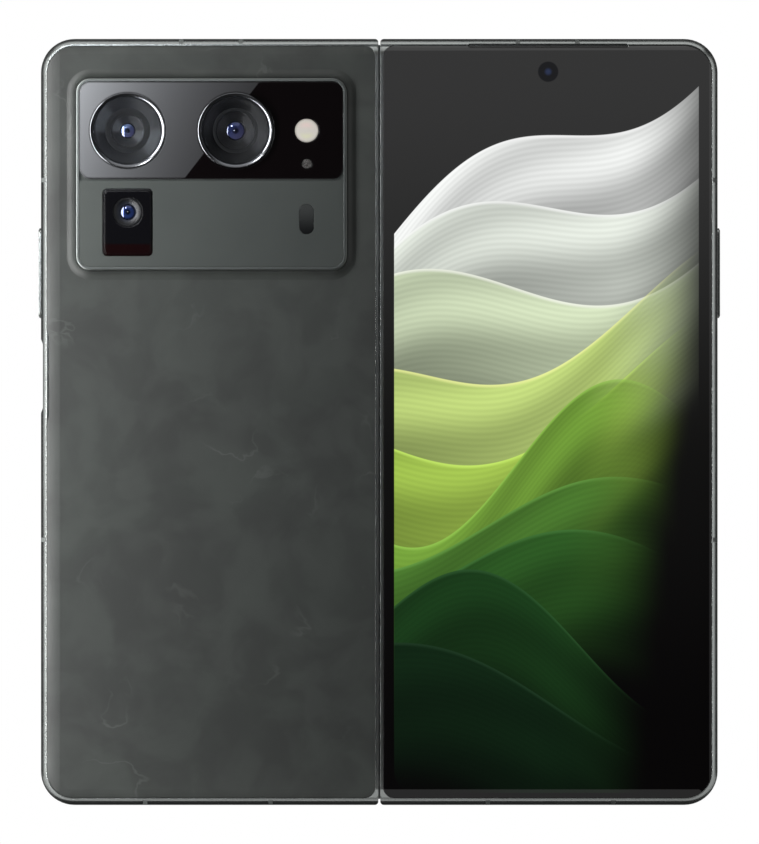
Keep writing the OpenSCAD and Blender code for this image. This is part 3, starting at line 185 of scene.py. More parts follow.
band_plastic = Finish("band_plastic", {"Base Color": seen(104, 108, 106), "Coat Weight": 0.4})
band_plastic.drive(Roughness=0.34 + 0.1 * band_plastic.noise(0.6, 3),
                   Normal=band_plastic.relief(band_plastic.noise(0.08), 0.0006))
band_plastic.coat_nodes("camera_half_antenna_bands", "display_half_antenna_bands")


# ---------------------------------------------------------------- rear cover
# A thin matte panel with a mineral look: soft clouds in greenish graphite, and a
# few hair-thin paler veins. It rises in a swept flare round the camera island.

mineral = Finish("mineral_back", {"Roughness": 0.46, "Specular IOR Level": 0.55})
drift = mineral.noise(30, 2)
warped = mineral.node("ShaderNodeVectorMath", {"operation": "MULTIPLY_ADD"},
                      {0: mineral.node("ShaderNodeTexNoise", {}, {
                          "Vector": mineral.place(), "Scale": 1 / (26 * MM), "Detail": 3}, 1),
                       1: (0.02, 0.02, 0.02), 2: mineral.place()})
clouds = mineral.noise(17, 4, warped, 0.4).rise(0.32, 0.7)
patches = mineral.noise(9, 3, warped).rise(0.4, 0.62)
vein_run = mineral.noise(24, 5, warped)
vein_line = 1 - abs(vein_run - 0.5).rise(0.0, 0.012)
vein_here = mineral.noise(20, 2).rise(0.52, 0.68)
veins = vein_line * vein_here
stone = mineral.mix(clouds * 0.6 + patches * 0.4, seen(34, 37, 35), seen(52, 56, 53))
mineral.drive(Base_Color=mineral.mix(veins * 0.35, stone, seen(84, 88, 85)),
              Roughness=0.5 - 0.08 * clouds + 0.06 * drift,
              Normal=mineral.relief(mineral.noise(0.1), 0.001, mineral.rounded(0.12)))
mineral.coat_nodes("rear_cover")


# ---------------------------------------------------------------- camera island
# A satin steel rim, pressed round the plates; a fine-blasted metal deck in the
# lower part; and a pane of black-printed glass let into the upper part.

satin_rim = Finish("satin_rim", {"Base Color": seen(120, 124, 122), "Metallic": 1.0})
satin_rim.drive(Roughness=0.31 + 0.06 * satin_rim.noise(2, 3), Normal=satin_rim.rounded(0.12))
satin_rim.coat_nodes("camera_rim")

deck = Finish("deck_metal", {"Metallic": 1.0, "Roughness": 0.42})
deck_grain = deck.noise(0.16, 2)
deck.drive(Base_Color=deck.mix(deck.noise(14, 2), seen(88, 92, 90), seen(98, 102, 99)),
           Roughness=0.4 + 0.08 * deck_grain,
           Normal=deck.relief(deck_grain, 0.002, deck.rounded(0.08)))
deck.coat_nodes("camera_deck")

black_pane = Finish("black_pane", {"Base Color": seen(8, 5, 6), "Roughness": 0.02,
                                   "Specular IOR Level": 0.5})
black_pane.drive(Roughness=0.004 + 0.008 * black_pane.noise(12, 2), Normal=black_pane.rounded(0.4))
black_pane.coat_nodes("camera_glass")


# ---------------------------------------------------------------- lens glasses
# Each large lens sits behind a flat disc of sapphire-hard glass whose coating
# lets nearly all the light through. It is thin, so it shows as a faint sheen.

clear = Finish("coated_glass", {"Base Color": seen(210, 215, 235), "Metallic": 1.0,
                                "Roughness": 0.02})
see_through = clear.node("ShaderNodeBsdfTransparent", {}, {"Color": (0.97, 0.98, 0.99, 1)})
sheen = clear.node("ShaderNodeFresnel", {}, {"IOR": 1.07})
both = clear.node("ShaderNodeMixShader", {}, {0: sheen, 1: see_through,
                                              2: Wire(clear, clear.shader.outputs[0])})
clear.tree.links.new(both.socket, clear.tree.nodes["Material Output"].inputs["Surface"])
clear.coat_nodes("lens_glasses")


# ---------------------------------------------------------------- large cameras
# Behind each glass a black hood slopes in to the barrel, whose stepped baffles are
# turned with fine rings, given as a bump. The wedges in which the rings catch the light
# are painted highlights: two opposite sides of the hood are painted lighter. The front
# element is a coated dome whose tint is painted as a reflection ring that turns from
# blue to lilac. Each camera is one turned body, seated in its square housing.

smooth_up_to = radians(32)
weld = 0.002 * MM


def deselect():
    bpy.ops.object.select_all(action="DESELECT")


def settle(piece, name):
    """Gives a new piece its name and puts its place into its mesh."""
    deselect()
    piece.select_set(True)
    bpy.context.view_layer.objects.active = piece
    piece.name = name
    piece.data.name = name
    bpy.ops.object.transform_apply(location=True, rotation=True, scale=True)
    return piece


def turned(name, centre, profile, steps=96):
    """A body turned about an axis along Y through (x, z), from points of (radius, y), all in millimetres."""
    deselect()
    bpy.ops.mesh.primitive_plane_add(size=0.001)
    piece = bpy.context.object
    bpy.ops.object.mode_set(mode="EDIT")
    bpy.ops.mesh.select_all(action="SELECT")
    bpy.ops.mesh.merge(type="CENTER")
    x, z = centre
    here = Vector((0, 0, 0))
    for number, (radius, y) in enumerate(profile):
        there = Vector((x + radius, y, z)) * MM
        if number:
            bpy.ops.mesh.extrude_vertices_move(TRANSFORM_OT_translate={"value": there - here})
        else:
            bpy.ops.transform.translate(value=there - here)
        here = there
    bpy.ops.mesh.select_all(action="SELECT")
    bpy.ops.mesh.spin(steps=steps, angle=2 * pi, center=(x * MM, 0, z * MM), axis=(0, 1, 0))
    bpy.ops.mesh.select_all(action="SELECT")
    bpy.ops.mesh.remove_doubles(threshold=weld)
    bpy.ops.mesh.normals_make_consistent(inside=False)
    bpy.ops.object.mode_set(mode="OBJECT")
    settle(piece, name)
    bpy.ops.object.shade_smooth_by_angle(angle=smooth_up_to)
    return piece


def block(name, low, high, edge):
    """A box between two corners in millimetres, its edges rounded by that radius."""
    deselect()
    bpy.ops.mesh.primitive_cube_add(size=1, location=(Vector(low) + Vector(high)) / 2 * MM)
    piece = bpy.context.object
    piece.scale = (Vector(high) - Vector(low)) * MM
    settle(piece, name)
    rounding = piece.modifiers.new("edges", "BEVEL")
    rounding.width = edge * MM
    rounding.segments = 3
    bpy.ops.object.modifier_apply(modifier=rounding.name)
    bpy.ops.object.shade_smooth_by_angle(angle=smooth_up_to)
    return piece


def radius_from(finish, x, z):
    """Distance from an axis along Y, in millimetres."""
    across, _, up = finish.millimetres()
    return ((across - x) ** 2 + (up - z) ** 2) ** 0.5


def coat(piece, finish, body):
    """Gives a new piece its finish and the body that it rides on."""
    piece.data.materials.clear()
    piece.data.materials.append(finish.material)
    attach(piece, body)


def middle(node):
    """A node's centre along X and Z, in millimetres."""
    low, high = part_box(node)
    return ((low[0] + high[0]) / 2 / MM, (low[2] + high[2]) / 2 / MM)


ring_low, ring_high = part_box("main_lens_ring")
ring_front = ring_low[1] / MM
ring_back = ring_high[1] / MM
ring_r = (ring_high[0] - ring_low[0]) / 2 / MM
ring_bore = 6.98
housing_low, housing_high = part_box("main_camera")
hood_front = housing_low[1] / MM
sensor_back = housing_high[1] / MM
housing_half = (housing_high[0] - housing_low[0]) / 2 / MM

hood_r = ring_bore
barrel_r = 6.2
ring_pitch = 0.11
painted_wedge_x, painted_wedge_z = -0.92, 0.39
painted_wedge_gain = 2.2
for camera, ring, cone_in, baffle_in, pupil_r, hood_tone, tint in (
        ("main_camera", "main_lens_ring", 4.7, 3.35, 1.55, (26, 27, 28), (66, 88, 128)),
        ("portrait_camera", "portrait_lens_ring", 4.75, 4.0, 1.95, (13, 13, 14), (36, 50, 98))):
    axis = middle(ring)
    polished = Finish(ring + "_metal", {"Base Color": seen(128, 130, 134), "Metallic": 1.0})
    polished.drive(Roughness=0.16 + 0.05 * polished.noise(2, 3))
    collar = turned(ring + "_turned", axis, (
        (ring_r, ring_back), (ring_r, ring_front + 0.1), (ring_r - 0.03, ring_front + 0.03),
        (ring_r - 0.1, ring_front), (ring_r - 0.17, ring_front + 0.02),
        (ring_bore + 0.22, ring_front + 0.12), (ring_bore + 0.14, ring_front + 0.2),
        (ring_bore + 0.12, ring_front + 0.56), (ring_bore, ring_front + 0.58),
        (ring_bore, ring_back), (ring_r, ring_back)))
    coat(collar, polished, "camera_half")
    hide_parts(ring)

    hood = Finish(camera + "_hood", {"Roughness": 0.3, "Specular IOR Level": 0.25})
    reach = radius_from(hood, *axis)
    turning = (reach * (2 * pi / ring_pitch)).wave() * 0.5 + 0.5
    across, _, up = hood.millimetres()
    # Painted highlight: the hood is painted lighter in two opposite wedges, towards upper left and lower
    # right, where turned rings would catch the light.
    painted_light_lean = ((across - axis[0]) * painted_wedge_x + (up - axis[1]) * painted_wedge_z) / reach
    painted_wedge = (painted_light_lean ** 2).rise(0.7, 0.93)
    flat_ring = reach.rise(baffle_in, baffle_in + 0.1) * (1 - reach.rise(cone_in - 0.1, cone_in))
    slope_with_painted_wedges = hood.mix(painted_wedge, seen(*hood_tone), seen(*[painted_wedge_gain * tone for tone in hood_tone]))
    hood.drive(Base_Color=hood.mix(flat_ring, slope_with_painted_wedges, seen(8, 9, 10)),
               Roughness=0.3 + 0.25 * flat_ring, Normal=hood.relief(turning, 0.012))
    barrel = turned(camera + "_barrel", axis, (
        (hood_r, hood_front + 0.9), (hood_r, hood_front + 0.05), (hood_r - 0.05, hood_front),
        (hood_r - 0.2, hood_front), (hood_r - 0.28, hood_front + 0.1),
        (cone_in + 0.12, hood_front + 0.62), (cone_in, hood_front + 0.72),
        (baffle_in + 0.1, hood_front + 0.75), (baffle_in, hood_front + 0.8),
        (baffle_in - 0.05, hood_front + 1.0), (pupil_r + 0.55, hood_front + 1.3),
        (pupil_r + 0.45, hood_front + 1.34), (pupil_r + 0.1, hood_front + 1.36),
        (pupil_r, hood_front + 1.45), (pupil_r, hood_front + 2.2), (barrel_r, hood_front + 2.2),
        (barrel_r, hood_front + 0.9), (hood_r, hood_front + 0.9)))
    x, z = axis
    base = block(camera + "_housing",
                 (x - housing_half, hood_front + 1.75, z - housing_half),
                 (x + housing_half, sensor_back, z + housing_half), 0.4)
    coat(barrel, hood, "camera_half")
    coat(base, hood, "camera_half")
    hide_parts(camera)

    dome = Finish(camera + "_element", {"Roughness": 0.05, "Metallic": 0.55, "Coat Weight": 1.0,
                                        "Coat Roughness": 0.02})
    reach = radius_from(dome, *axis)
    across, _, up = dome.millimetres()
    # Painted reflection: the blue and lilac are the coating's tint, but it is painted as a ring, dark in the
    # middle and at the rim, that turns from blue at upper left to lilac at lower right.
    painted_light_lean = (across - x) * 0.7 - (up - z) * 0.7
    painted_reflection_ring = reach.rise(0.1 * pupil_r, 0.5 * pupil_r) * (1 - reach.rise(0.8 * pupil_r, pupil_r))
    tint_with_painted_reflection = dome.mix(painted_light_lean.rise(-pupil_r, pupil_r), seen(*tint), seen(88, 88, 124))
    dome.drive(Base_Color=dome.mix(painted_reflection_ring, seen(8, 10, 22), tint_with_painted_reflection))
    element = turned(camera + "_element", axis, [
        (pupil_r * share, hood_front + 1.15 + 0.45 * share ** 2) for share in
        (0.001, 0.15, 0.3, 0.45, 0.6, 0.75, 0.9, 1.0)] + [
        (pupil_r, hood_front + 1.75), (0.001, hood_front + 1.75)], 64)
    coat(element, dome, "camera_half")


# ---------------------------------------------------------------- wide camera
# The wide camera looks out of a round opening in a black window that is let into
# the deck. Below the opening the window's print has a faint warm band.

band_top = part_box("wide_camera_window")[0][2] / MM + 2.6
window_black = Finish("window_black", {"Specular IOR Level": 0.4})
up = window_black.millimetres()[2]
window_black.drive(Base_Color=window_black.mix(up.rise(band_top - 0.3, band_top), seen(17, 5, 6),
                                               seen(10, 10, 13)),
                   Roughness=0.01 + 0.02 * window_black.noise(3, 2),
                   Normal=window_black.rounded(0.3))
window_black.coat_nodes("wide_camera_window")

axis = middle("wide_camera")
wide_low, wide_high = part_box("wide_camera")
wide_front = wide_low[1] / MM
wide_black = Finish("wide_camera_black", {"Roughness": 0.3})
reach = radius_from(wide_black, *axis)
turning = (reach * (2 * pi / 0.13)).wave() * 0.5 + 0.5
wide_black.drive(Base_Color=wide_black.mix(reach.rise(1.6, 2.6), seen(30, 34, 44), seen(14, 15, 18)),
                 Roughness=0.3 + 0.1 * wide_black.noise(0.4),
                 Normal=wide_black.relief(turning, 0.006))
barrel = turned("wide_camera_barrel", axis, (
    (3.0, wide_front + 0.7), (3.0, wide_front + 0.02), (2.95, wide_front), (2.7, wide_front),
    (2.62, wide_front + 0.1), (1.75, wide_front + 0.42), (1.66, wide_front + 0.55),
    (1.6, wide_front + 0.75), (1.5, wide_front + 1.4), (2.6, wide_front + 1.4),
    (2.6, wide_front + 0.7), (3.0, wide_front + 0.7)), 80)
x, z = axis
half = (wide_high[0] - wide_low[0]) / 2 / MM
base = block("wide_camera_housing", (x - half, wide_front + 1.0, z - half),
             (x + half, wide_high[1] / MM, z + half), 0.3)
for piece in (barrel, base):
    coat(piece, wide_black, "camera_half")
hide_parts("wide_camera")

wide_dome = Finish("wide_camera_element", {"Roughness": 0.05, "Metallic": 0.55, "Coat Weight": 1.0})
reach = radius_from(wide_dome, *axis)
# Painted reflection: the coating's blue is painted as a ring, dark in the middle and at the rim.
painted_reflection_ring = reach.rise(0.3, 0.8) * (1 - reach.rise(1.1, 1.55))
wide_dome.drive(Base_Color=wide_dome.mix(painted_reflection_ring, seen(8, 9, 20), seen(40, 58, 112)))
element = turned("wide_camera_element", axis, [
    (1.6 * share, wide_front + 0.42 + 0.4 * share ** 2) for share in
    (0.001, 0.2, 0.4, 0.6, 0.8, 1.0)] + [(1.6, wide_front + 1.1), (0.001, wide_front + 1.1)], 64)
coat(element, wide_dome, "camera_half")


# ---------------------------------------------------------------- lamp, sensor, focus window
# The flash is a frosted lens over a warm and a cool emitter, with the rings of a
# flat lens moulded in its back. Below it are a light sensor and a focus window,
# whose smoked colour is painted lighter towards its top, a painted sheen.

frosted = Finish("frosted_lens", {"Roughness": 0.35, "Coat Weight": 0.6, "Coat Roughness": 0.05})
x, z = middle("flash_lens")
reach = radius_from(frosted, x, z)
across, _, up = frosted.millimetres()
warm = (up - z).rise(0.1, 1.6) * (1 - reach.rise(0.9, 2.1))
cool = (z - up).rise(0.1, 1.6) * (1 - reach.rise(0.9, 2.1))
milk = frosted.mix(reach.rise(2.0, 2.42), seen(203, 198, 190), seen(168, 162, 154))
milk = frosted.mix(warm * 0.7, milk, seen(228, 196, 190))
milk = frosted.mix(cool * 0.7, milk, seen(214, 216, 170))
frosted.drive(Base_Color=milk, Roughness=0.3 + 0.12 * frosted.noise(0.5),
              Normal=frosted.relief((reach * (2 * pi / 0.22)).wave() * 0.5 + 0.5, 0.004,
                                    frosted.rounded(0.08)))
frosted.coat_nodes("flash_lens")

tinted = Finish("sensor_window", {"Roughness": 0.25, "Coat Weight": 0.5})
speckle = tinted.noise(0.24, 3).rise(0.35, 0.7)
tinted.drive(Base_Color=tinted.mix(speckle, seen(44, 42, 41), seen(92, 90, 88)),
             Roughness=0.2 + 0.2 * speckle, Normal=tinted.rounded(0.06))
tinted.coat_nodes("light_sensor")

smoked = Finish("smoked_window", {"Roughness": 0.12, "Coat Weight": 0.4})
focus_low, focus_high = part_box("focus_window")
up = smoked.millimetres()[2]
# Painted sheen: the smoked window is painted lighter towards its top.
painted_top_sheen = up.rise(focus_low[2] / MM, focus_high[2] / MM)
smoked.drive(Base_Color=smoked.mix(painted_top_sheen, seen(13, 14, 15), seen(54, 56, 56)),
             Roughness=0.14 + 0.04 * smoked.noise(1), Normal=smoked.rounded(0.12))
smoked.coat_nodes("focus_window")


# ---------------------------------------------------------------- inside
# Boards in green resist over copper tracks, stamped steel cans, batteries in
# crinkled black foil, amber flexes, and black moulded boxes.

resist = Finish("board_resist", {"Roughness": 0.4})
tracks = resist.noise(2.2, 2, None, 1.5)
trace = 1 - abs(tracks - 0.5).rise(0.01, 0.03)
resist.drive(Base_Color=resist.mix(trace * 0.7, seen(18, 62, 40), seen(44, 104, 66)),
             Roughness=0.36 + 0.16 * resist.noise(1.2), Normal=resist.relief(trace, 0.02))
resist.coat_nodes("main_board", "charging_board", "sub_board")

stamped = Finish("stamped_steel", {"Metallic": 1.0, "Base Color": seen(176, 176, 172)})
stamped.drive(Roughness=0.3 + 0.12 * stamped.noise(0.8, 3),
              Normal=stamped.relief(stamped.noise(0.3), 0.004, stamped.rounded(0.15)))
stamped.coat_nodes("shield_cans", "vibration_motor", "usb_socket")

foil = Finish("battery_foil", {"Roughness": 0.5, "Metallic": 0.2})
crinkle = foil.noise(2.4, 4, None, 0.6)
foil.drive(Base_Color=foil.mix(crinkle, seen(26, 27, 28), seen(40, 41, 43)),
           Roughness=0.4 + 0.2 * crinkle, Normal=foil.relief(crinkle, 0.05, foil.rounded(0.3)))
foil.coat_nodes("camera_half_battery", "display_half_battery")

amber = Finish("amber_film", {"Roughness": 0.35})
copper = (amber.millimetres()[2] * (2 * pi / 1.1)).wave().rise(-0.2, 0.2)
amber.drive(Base_Color=amber.mix(copper, seen(150, 92, 34), seen(186, 122, 52)),
            Roughness=0.3 + 0.1 * amber.noise(0.5))
amber.coat_nodes("camera_half_key_flex", "display_half_key_flex")

moulded = Finish("black_moulding", {"Roughness": 0.5})
spark = moulded.noise(0.12, 2)
moulded.drive(Base_Color=moulded.mix(spark, seen(15, 15, 16), seen(22, 22, 23)),
              Roughness=0.42 + 0.15 * spark, Normal=moulded.relief(spark, 0.006, moulded.rounded(0.1)))
moulded.coat_nodes("usb_tongue", "loudspeaker", "earpiece_receiver", "camera_half_bezel",
                   "display_half_bezel")

mesh_cloth = Finish("earpiece_mesh", {"Roughness": 0.6})
across, _, up = mesh_cloth.millimetres()
weave = (across * (2 * pi / 0.16)).wave() * (up * (2 * pi / 0.16)).wave() * 0.5 + 0.5
mesh_cloth.drive(Base_Color=mesh_cloth.mix(weave, seen(16, 16, 16), seen(58, 58, 57)),
                 Roughness=0.5 + 0.2 * weave, Normal=mesh_cloth.relief(weave, 0.02))
mesh_cloth.coat_nodes("earpiece_grille")


# ---------------------------------------------------------------- contacts in the socket
# Eight gilt contacts lie side by side on each face of the socket's tongue.

tongue_low, tongue_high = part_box("usb_tongue")
gilt = Finish("gilt_contacts", {"Metallic": 1.0, "Base Color": seen(214, 176, 104)})
gilt.drive(Roughness=0.22 + 0.14 * gilt.noise(0.3), Normal=gilt.rounded(0.03))
contact_w = 0.28
contact_l = 3.2
contact_t = 0.05
contact_count = 8
tongue_margin = 0.5
tongue_lip = 0.3
room = (tongue_high[0] - tongue_low[0]) / MM - 2 * tongue_margin
for face, (y0, y1) in (("front", (tongue_low[1] / MM - contact_t, tongue_low[1] / MM + contact_t)),
                       ("back", (tongue_high[1] / MM - contact_t, tongue_high[1] / MM + contact_t))):
    strips = []
    for number in range(contact_count):
        x = tongue_low[0] / MM + tongue_margin + room * (number + 0.5) / contact_count
        bottom = tongue_low[2] / MM + tongue_lip
        strips.append(block("contact", (x - contact_w / 2, y0, bottom),
                            (x + contact_w / 2, y1, bottom + contact_l), 0.02))
    deselect()
    for strip in strips:
        strip.select_set(True)
    bpy.context.view_layer.objects.active = strips[0]
    bpy.ops.object.join()
    contacts = settle(bpy.context.object, "socket_contacts_" + face)
    coat(contacts, gilt, "camera_half")


# ---------------------------------------------------------------- keys and card tray
# Keys and tray are machined from the frame's alloy and finished a little brighter,
# with broken edges. The power key lies at the bottom of its scoop.

key_metal = Finish("key_metal", {"Metallic": 1.0, "Base Color": seen(182, 186, 184)})
key_metal.drive(Roughness=0.2 + 0.08 * key_metal.noise(1.5, 3),
                Normal=key_metal.relief(key_metal.noise(0.12), 0.0015, key_metal.rounded(0.14)))
key_metal.coat_nodes("volume_key", "power_key", "side_key", "card_tray")


# ---------------------------------------------------------------- hinge
# Arms, brackets and shafts are machined steel; the idler gears that keep the
# halves in step are brass; the spine that shows at the seam is dark satin alloy.

steel = Finish("hinge_steel", {"Metallic": 1.0, "Base Color": seen(150, 150, 152)})
steel.drive(Roughness=0.28 + 0.14 * steel.noise(0.8, 3),
            Normal=steel.relief(steel.noise(0.25), 0.003, steel.rounded(0.05)))
steel.coat_nodes("camera_half_wing_plate", "display_half_wing_plate", "camera_half_hinge_arms",
                 "display_half_hinge_arms", "camera_half_gear_shafts", "display_half_gear_shafts",
                 "hinge_brackets", "idler_pins")

screw_steel = Finish("screw_steel", {"Metallic": 1.0, "Base Color": seen(96, 97, 100)})
screw_steel.drive(Roughness=0.3 + 0.1 * screw_steel.noise(0.4), Normal=screw_steel.rounded(0.04))
screw_steel.coat_nodes("camera_half_arm_screws", "display_half_arm_screws", "bracket_screws")

brass = Finish("idler_brass", {"Metallic": 1.0, "Base Color": seen(196, 160, 88)})
brass.drive(Roughness=0.26 + 0.12 * brass.noise(0.5), Normal=brass.rounded(0.03))
brass.coat_nodes("left_idler_gears", "right_idler_gears")

spine_metal = Finish("spine_metal", {"Metallic": 1.0, "Base Color": seen(96, 99, 98)})
spine_metal.drive(Roughness=0.3 + 0.08 * spine_metal.noise(1.2, 3),
                  Normal=spine_metal.relief(spine_metal.noise(0.15), 0.002, spine_metal.rounded(0.1)))
spine_metal.coat_nodes("spine_cover")


# ---------------------------------------------------------------- inner screen
# The folding screen is dark when off: black layers under a clear protective film
# with a faint valley along the fold. The film's folding zone is made as two strips,
# one on each side of the fold; beside them the screen is bonded to its plates.

off_black = Finish("screen_off", {"Roughness": 0.07, "Coat Weight": 0.6, "Coat Roughness": 0.03})
off_black.drive(Base_Color=off_black.mix(off_black.noise(40, 2), seen(7, 7, 9), seen(10, 10, 12)),
                Roughness=0.07 + 0.03 * off_black.noise(18, 3),
                Normal=off_black.relief(off_black.noise(14, 2), 0.004))
off_black.coat_nodes("camera_half_screen", "display_half_screen")

fold_low, fold_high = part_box("folding_screen")
valley = 0.06 * MM
columns = 24
for side, name, body in ((-1, "fold_zone_left", "camera_half"), (1, "fold_zone_right", "display_half")):
    deselect()
    bpy.ops.mesh.primitive_cube_add(size=1, location=(
        side * fold_high[0] / 2, (fold_low[1] + fold_high[1]) / 2, (fold_low[2] + fold_high[2]) / 2))
    strip = bpy.context.object
    strip.scale = (fold_high[0], fold_high[1] - fold_low[1], fold_high[2] - fold_low[2])
    settle(strip, name)
    bpy.ops.object.mode_set(mode="EDIT")
    for number in range(1, columns):
        bpy.ops.mesh.select_all(action="SELECT")
        bpy.ops.mesh.bisect(plane_co=(side * fold_high[0] * number / columns, 0, 0),
                            plane_no=(1, 0, 0))
    bpy.ops.object.mode_set(mode="OBJECT")
    for corner in strip.data.vertices:
        if corner.co.y > fold_high[1] - valley:
            share = 1 - abs(corner.co.x) / fold_high[0]
            corner.co.y -= valley * share * share * (3 - 2 * share)
    bpy.ops.object.shade_smooth_by_angle(angle=smooth_up_to)
    strip.data.materials.append(off_black.material)
    if side < 0:
        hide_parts("folding_screen")
        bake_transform(strip)
    else:
        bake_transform(strip)

lens_black = Finish("small_lens_black", {"Roughness": 0.12, "Coat Weight": 0.8})
lens_black.drive(Base_Color=lens_black.mix(lens_black.noise(1.5), seen(8, 9, 14), seen(16, 18, 28)),
                 Normal=lens_black.rounded(0.15))
lens_black.coat_nodes("inner_camera", "cover_camera")


# ---------------------------------------------------------------- cover display
# A lit panel under dark curved glass. Its picture is generic: silk ribbons that
# flow over each other, from white through lime to deep green, on charcoal that is
# painted lighter towards the top, a painted reflection on the glass. Over the
# cover camera the glass glows with a painted lens.

lit_x0 = 3.1
lit_x1 = 66.4
lit_z0 = 2.6
lit_z1 = 156.6
lit_corner = 4.5
hole = (35.1, 152.5)
hole_r = 2.1
ribbon_top = 136
ribbon_step = 12.8
picture_middle = 34
ribbon_colours = ((252, 254, 252), (240, 246, 236), (222, 236, 200), (204, 228, 132),
                  (170, 204, 84), (122, 168, 62), (78, 126, 48), (46, 92, 36),
                  (26, 62, 26), (14, 38, 18))


def ribbon_picture(finish, lit=1):
    """The picture's colour, from the back ribbon to the front one, where the panel is lit."""
    across, _, up = finish.millimetres()
    # Painted reflection: the charcoal ground is painted lighter towards the top, from near black to grey.
    ground_with_painted_reflection = finish.mix(up.rise(10, 120), seen(2, 1, 1), seen(20, 20, 19))
    picture = finish.mix(up.rise(70, 160), ground_with_painted_reflection, seen(52, 52, 52))
    for number, colour in enumerate(ribbon_colours):
        middle_z = ribbon_top - ribbon_step * number
        swing = 8 + 3 * (number % 3)
        wave_l = 12.5 + 1.4 * ((number * 2) % 5)
        lean = 0.62 - 0.09 * number
        crest = (across / wave_l + 0.8 * number).wave() * swing
        crest = crest + (across - picture_middle) * lean + middle_z
        below = crest - up
        reach = 1 - across.rise(50 - 2.0 * number, 74 - 2.2 * number)
        covers = below.rise(-0.1, 0.1) * reach
        sheen = 1 - below.rise(0, 36)
        folds = (below * 0.42 + across * 0.11 + 1.3 * number).wave() * 0.16 + 0.84
        thread = (below * 5.2 + across * 0.35).wave() * 0.05 + 0.95
        body = finish.mix(sheen * folds * thread, seen(*[c * 0.22 for c in colour]), seen(*colour))
        edge = 1 - below.rise(0.1, 0.9)
        body = finish.mix(edge * 0.6, body, seen(*[min(255, c * 1.15 + 18) for c in colour]))
        picture = finish.mix(covers * lit * sheen.rise(0.0, 0.3), picture, body)
    return picture


def lit_area(finish):
    """1 where the panel is lit, 0 in the glass's border and in the camera's hole."""
    across, _, up = finish.millimetres()
    beside = abs(across - (lit_x0 + lit_x1) / 2) - ((lit_x1 - lit_x0) / 2 - lit_corner)
    over = abs(up - (lit_z0 + lit_z1) / 2) - ((lit_z1 - lit_z0) / 2 - lit_corner)
    out = (finish.most(beside, 0) ** 2 + finish.most(over, 0) ** 2) ** 0.5
    inside = 1 - out.rise(lit_corner - 0.06, lit_corner + 0.06)
    return inside * radius_from(finish, *hole).rise(hole_r - 0.08, hole_r + 0.08)


display_glass = Finish("display_glass", {"Base Color": seen(4, 4, 5), "Roughness": 0.03,
                                         "Emission Strength": 1.0})
# Painted glow: over the cover camera's hole the glass emits a lens, bluish in the middle and near black at
# the edge.
camera_reach = radius_from(display_glass, *hole)
painted_lens_glow = display_glass.mix(camera_reach.rise(0.2, 1.0), seen(40, 52, 84), seen(14, 15, 19))
in_hole = 1 - camera_reach.rise(hole_r - 0.15, hole_r + 0.15)
picture = ribbon_picture(display_glass, lit_area(display_glass))
display_glass.drive(
    Emission_Color=display_glass.mix(in_hole * 0.75, picture, painted_lens_glow),
    Roughness=0.02 + 0.02 * display_glass.noise(25, 2), Normal=display_glass.rounded(0.1))
display_glass.coat_nodes("cover_glass")

lit_panel = Finish("lit_panel", {"Roughness": 0.4, "Emission Strength": 0.8})
lit_panel.drive(Emission_Color=ribbon_picture(lit_panel))
lit_panel.coat_nodes("cover_display_panel")


# ---------------------------------------------------------------- studio
# A white surround that only the lens sees, soft boxes at both sides, above and in
# front, and a long lens, level with the phone's middle and square to its outer side.

# A pale strip of paper right before the phone shows in the lower edge alone.
deselect()
bpy.ops.mesh.primitive_plane_add(size=1, location=(0, -0.0166, -0.0001))
strip = bpy.context.object
strip.scale = (0.2, 0.029, 1)
settle(strip, "paper_strip")
strip_look = Finish("paper_strip", {"Base Color": (0, 0, 0, 1), "Emission Color": (1, 1, 1, 1),
                                    "Emission Strength": 0.5})
strip.data.materials.append(strip_look.material)
strip.visible_camera = strip.visible_diffuse = strip.visible_shadow = False

# A slanted card beside the lens. The pane of black glass shows it as a bright corner that fades
# to the lower right. Its corners are where the pane shows them, and mirror-like faces alone see it.
camera_place = Vector((0.00004, -1.4640, 0.07969))
card_y = -0.3
spread = 1 + card_y / camera_place.y
card_left, card_top, card_bottom = -79, 154.0, 129.3
card_right_top, card_right_bottom = -21.9, -41.1
card_peak = 8.8
card_peak_x = -61.9
card_fall_x, card_fall_z = 14.6, 44
deselect()
bpy.ops.mesh.primitive_plane_add(size=1, location=(0, card_y, 0), rotation=(pi / 2, 0, 0))
card = settle(bpy.context.object, "slanted_card")
for corner in card.data.vertices:
    upper = corner.co.z > 0
    right = card_right_top if upper else card_right_bottom
    x = (card_left if corner.co.x < 0 else right) * MM
    z = (card_top if upper else card_bottom) * MM
    corner.co = (camera_place.x + spread * (x - camera_place.x), card_y,
                 camera_place.z + spread * (z - camera_place.z))
card_look = Finish("slanted_card", {"Base Color": (0, 0, 0, 1), "Roughness": 1})
across, _, up = card_look.millimetres()
fall = (card_peak_x - across / spread) / card_fall_x + (up - card_top) / card_fall_z
glow = card_look.node("ShaderNodeEmission", {}, {
    "Color": (0.96, 1.0, 1.06, 1), "Strength": card_peak * fall.maths("EXPONENT", fall)})
card_look.tree.links.new(glow.socket, card_look.tree.nodes["Material Output"].inputs["Surface"])
card.data.materials.append(card_look.material)
card.visible_camera = card.visible_diffuse = card.visible_shadow = False


def softbox(name, place, target, width, height, radiance):
    """An area lamp of that size, in metres, whose face has that brightness, aimed at a point."""
    lamp = bpy.data.lights.new(name, "AREA")
    lamp.shape = "RECTANGLE"
    lamp.size = width
    lamp.size_y = height
    lamp.energy = radiance * pi * width * height
    holder = bpy.data.objects.new(name, lamp)
    bpy.context.collection.objects.link(holder)
    holder.location = place
    holder.rotation_euler = (Vector(target) - Vector(place)).to_track_quat("-Z", "Y").to_euler()


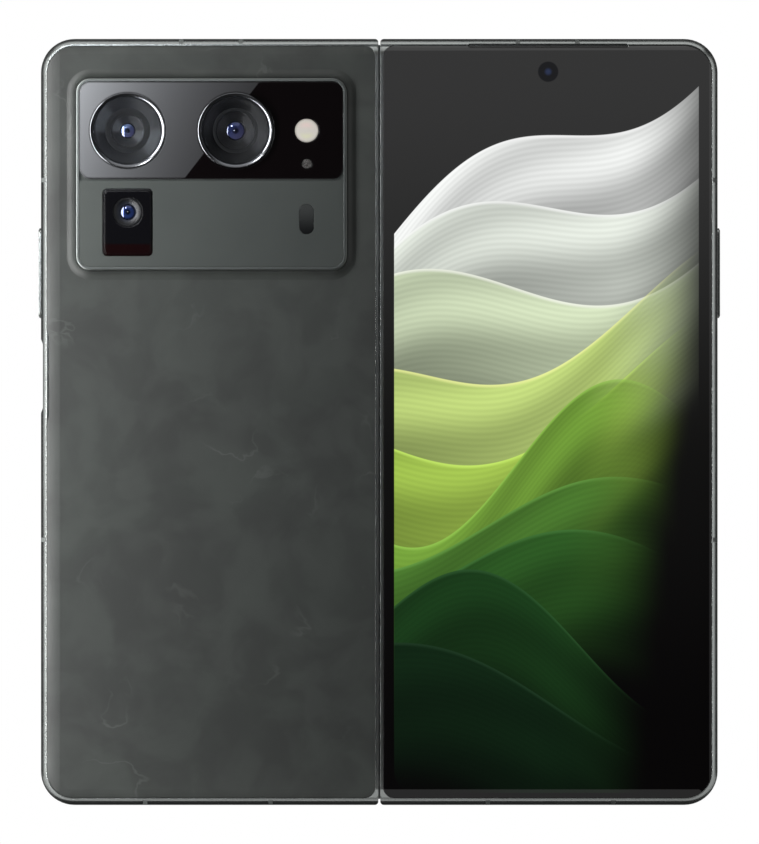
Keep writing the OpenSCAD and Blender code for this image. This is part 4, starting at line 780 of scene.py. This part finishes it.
softbox("left_box", (-0.22, -0.095, 0.1), (-0.07, 0, 0.1), 0.08, 0.3, 0.8)
softbox("right_box", (0.22, -0.095, 0.1), (0.07, 0, 0.1), 0.08, 0.3, 0.7)
softbox("top_box", (0, -0.095, 0.31), (0, 0, 0.16), 0.4, 0.08, 0.85)
softbox("left_front", (-0.135, -0.09, 0.085), (-0.06, 0, 0.085), 0.036, 0.28, 14)
softbox("right_front", (0.145, -0.09, 0.09), (0.06, 0, 0.09), 0.05, 0.30, 0.4)
softbox("sparkle", (-0.13, -0.22, 0.27), (-0.05, 0, 0.14), 0.03, 0.03, 40)
softbox("top_front", (-0.05, -0.30, 0.40), (-0.03, 0, 0.12), 0.3, 0.15, 0.6)

# The room is dark in front of the phone and pale behind it, so that its inner side shows too.
world = bpy.data.worlds.new("studio")
world.use_nodes = True
sky = world.node_tree
heading = sky.nodes.new("ShaderNodeSeparateXYZ")
glow = sky.nodes.new("ShaderNodeMapRange")
glow.interpolation_type = "SMOOTHSTEP"
for socket, value in (("From Min", 0.5), ("From Max", 0.95), ("To Min", 0.03), ("To Max", 0.45)):
    glow.inputs[socket].default_value = value
rays = sky.nodes.new("ShaderNodeLightPath")
shade = sky.nodes.new("ShaderNodeMix")
shade.data_type = "RGBA"
shade.inputs[7].default_value = (1, 1, 1, 1)
sky.links.new(sky.nodes.new("ShaderNodeTexCoord").outputs["Generated"], heading.inputs[0])
sky.links.new(heading.outputs["Y"], glow.inputs["Value"])
sky.links.new(glow.outputs[0], shade.inputs[6])
sky.links.new(rays.outputs["Is Camera Ray"], shade.inputs[0])
sky.links.new(shade.outputs[2], sky.nodes["Background"].inputs["Color"])
bpy.context.scene.world = world
bpy.context.scene.view_settings.view_transform = "Standard"

lens = bpy.data.cameras.new("camera")
lens.lens = 300
lens.sensor_width = 36
lens.clip_start = 0.05
lens.clip_end = 20
camera = bpy.data.objects.new("camera", lens)
bpy.context.collection.objects.link(camera)
camera.location = camera_place
camera.rotation_euler = (pi / 2, 0, 0)
bpy.context.scene.camera = camera
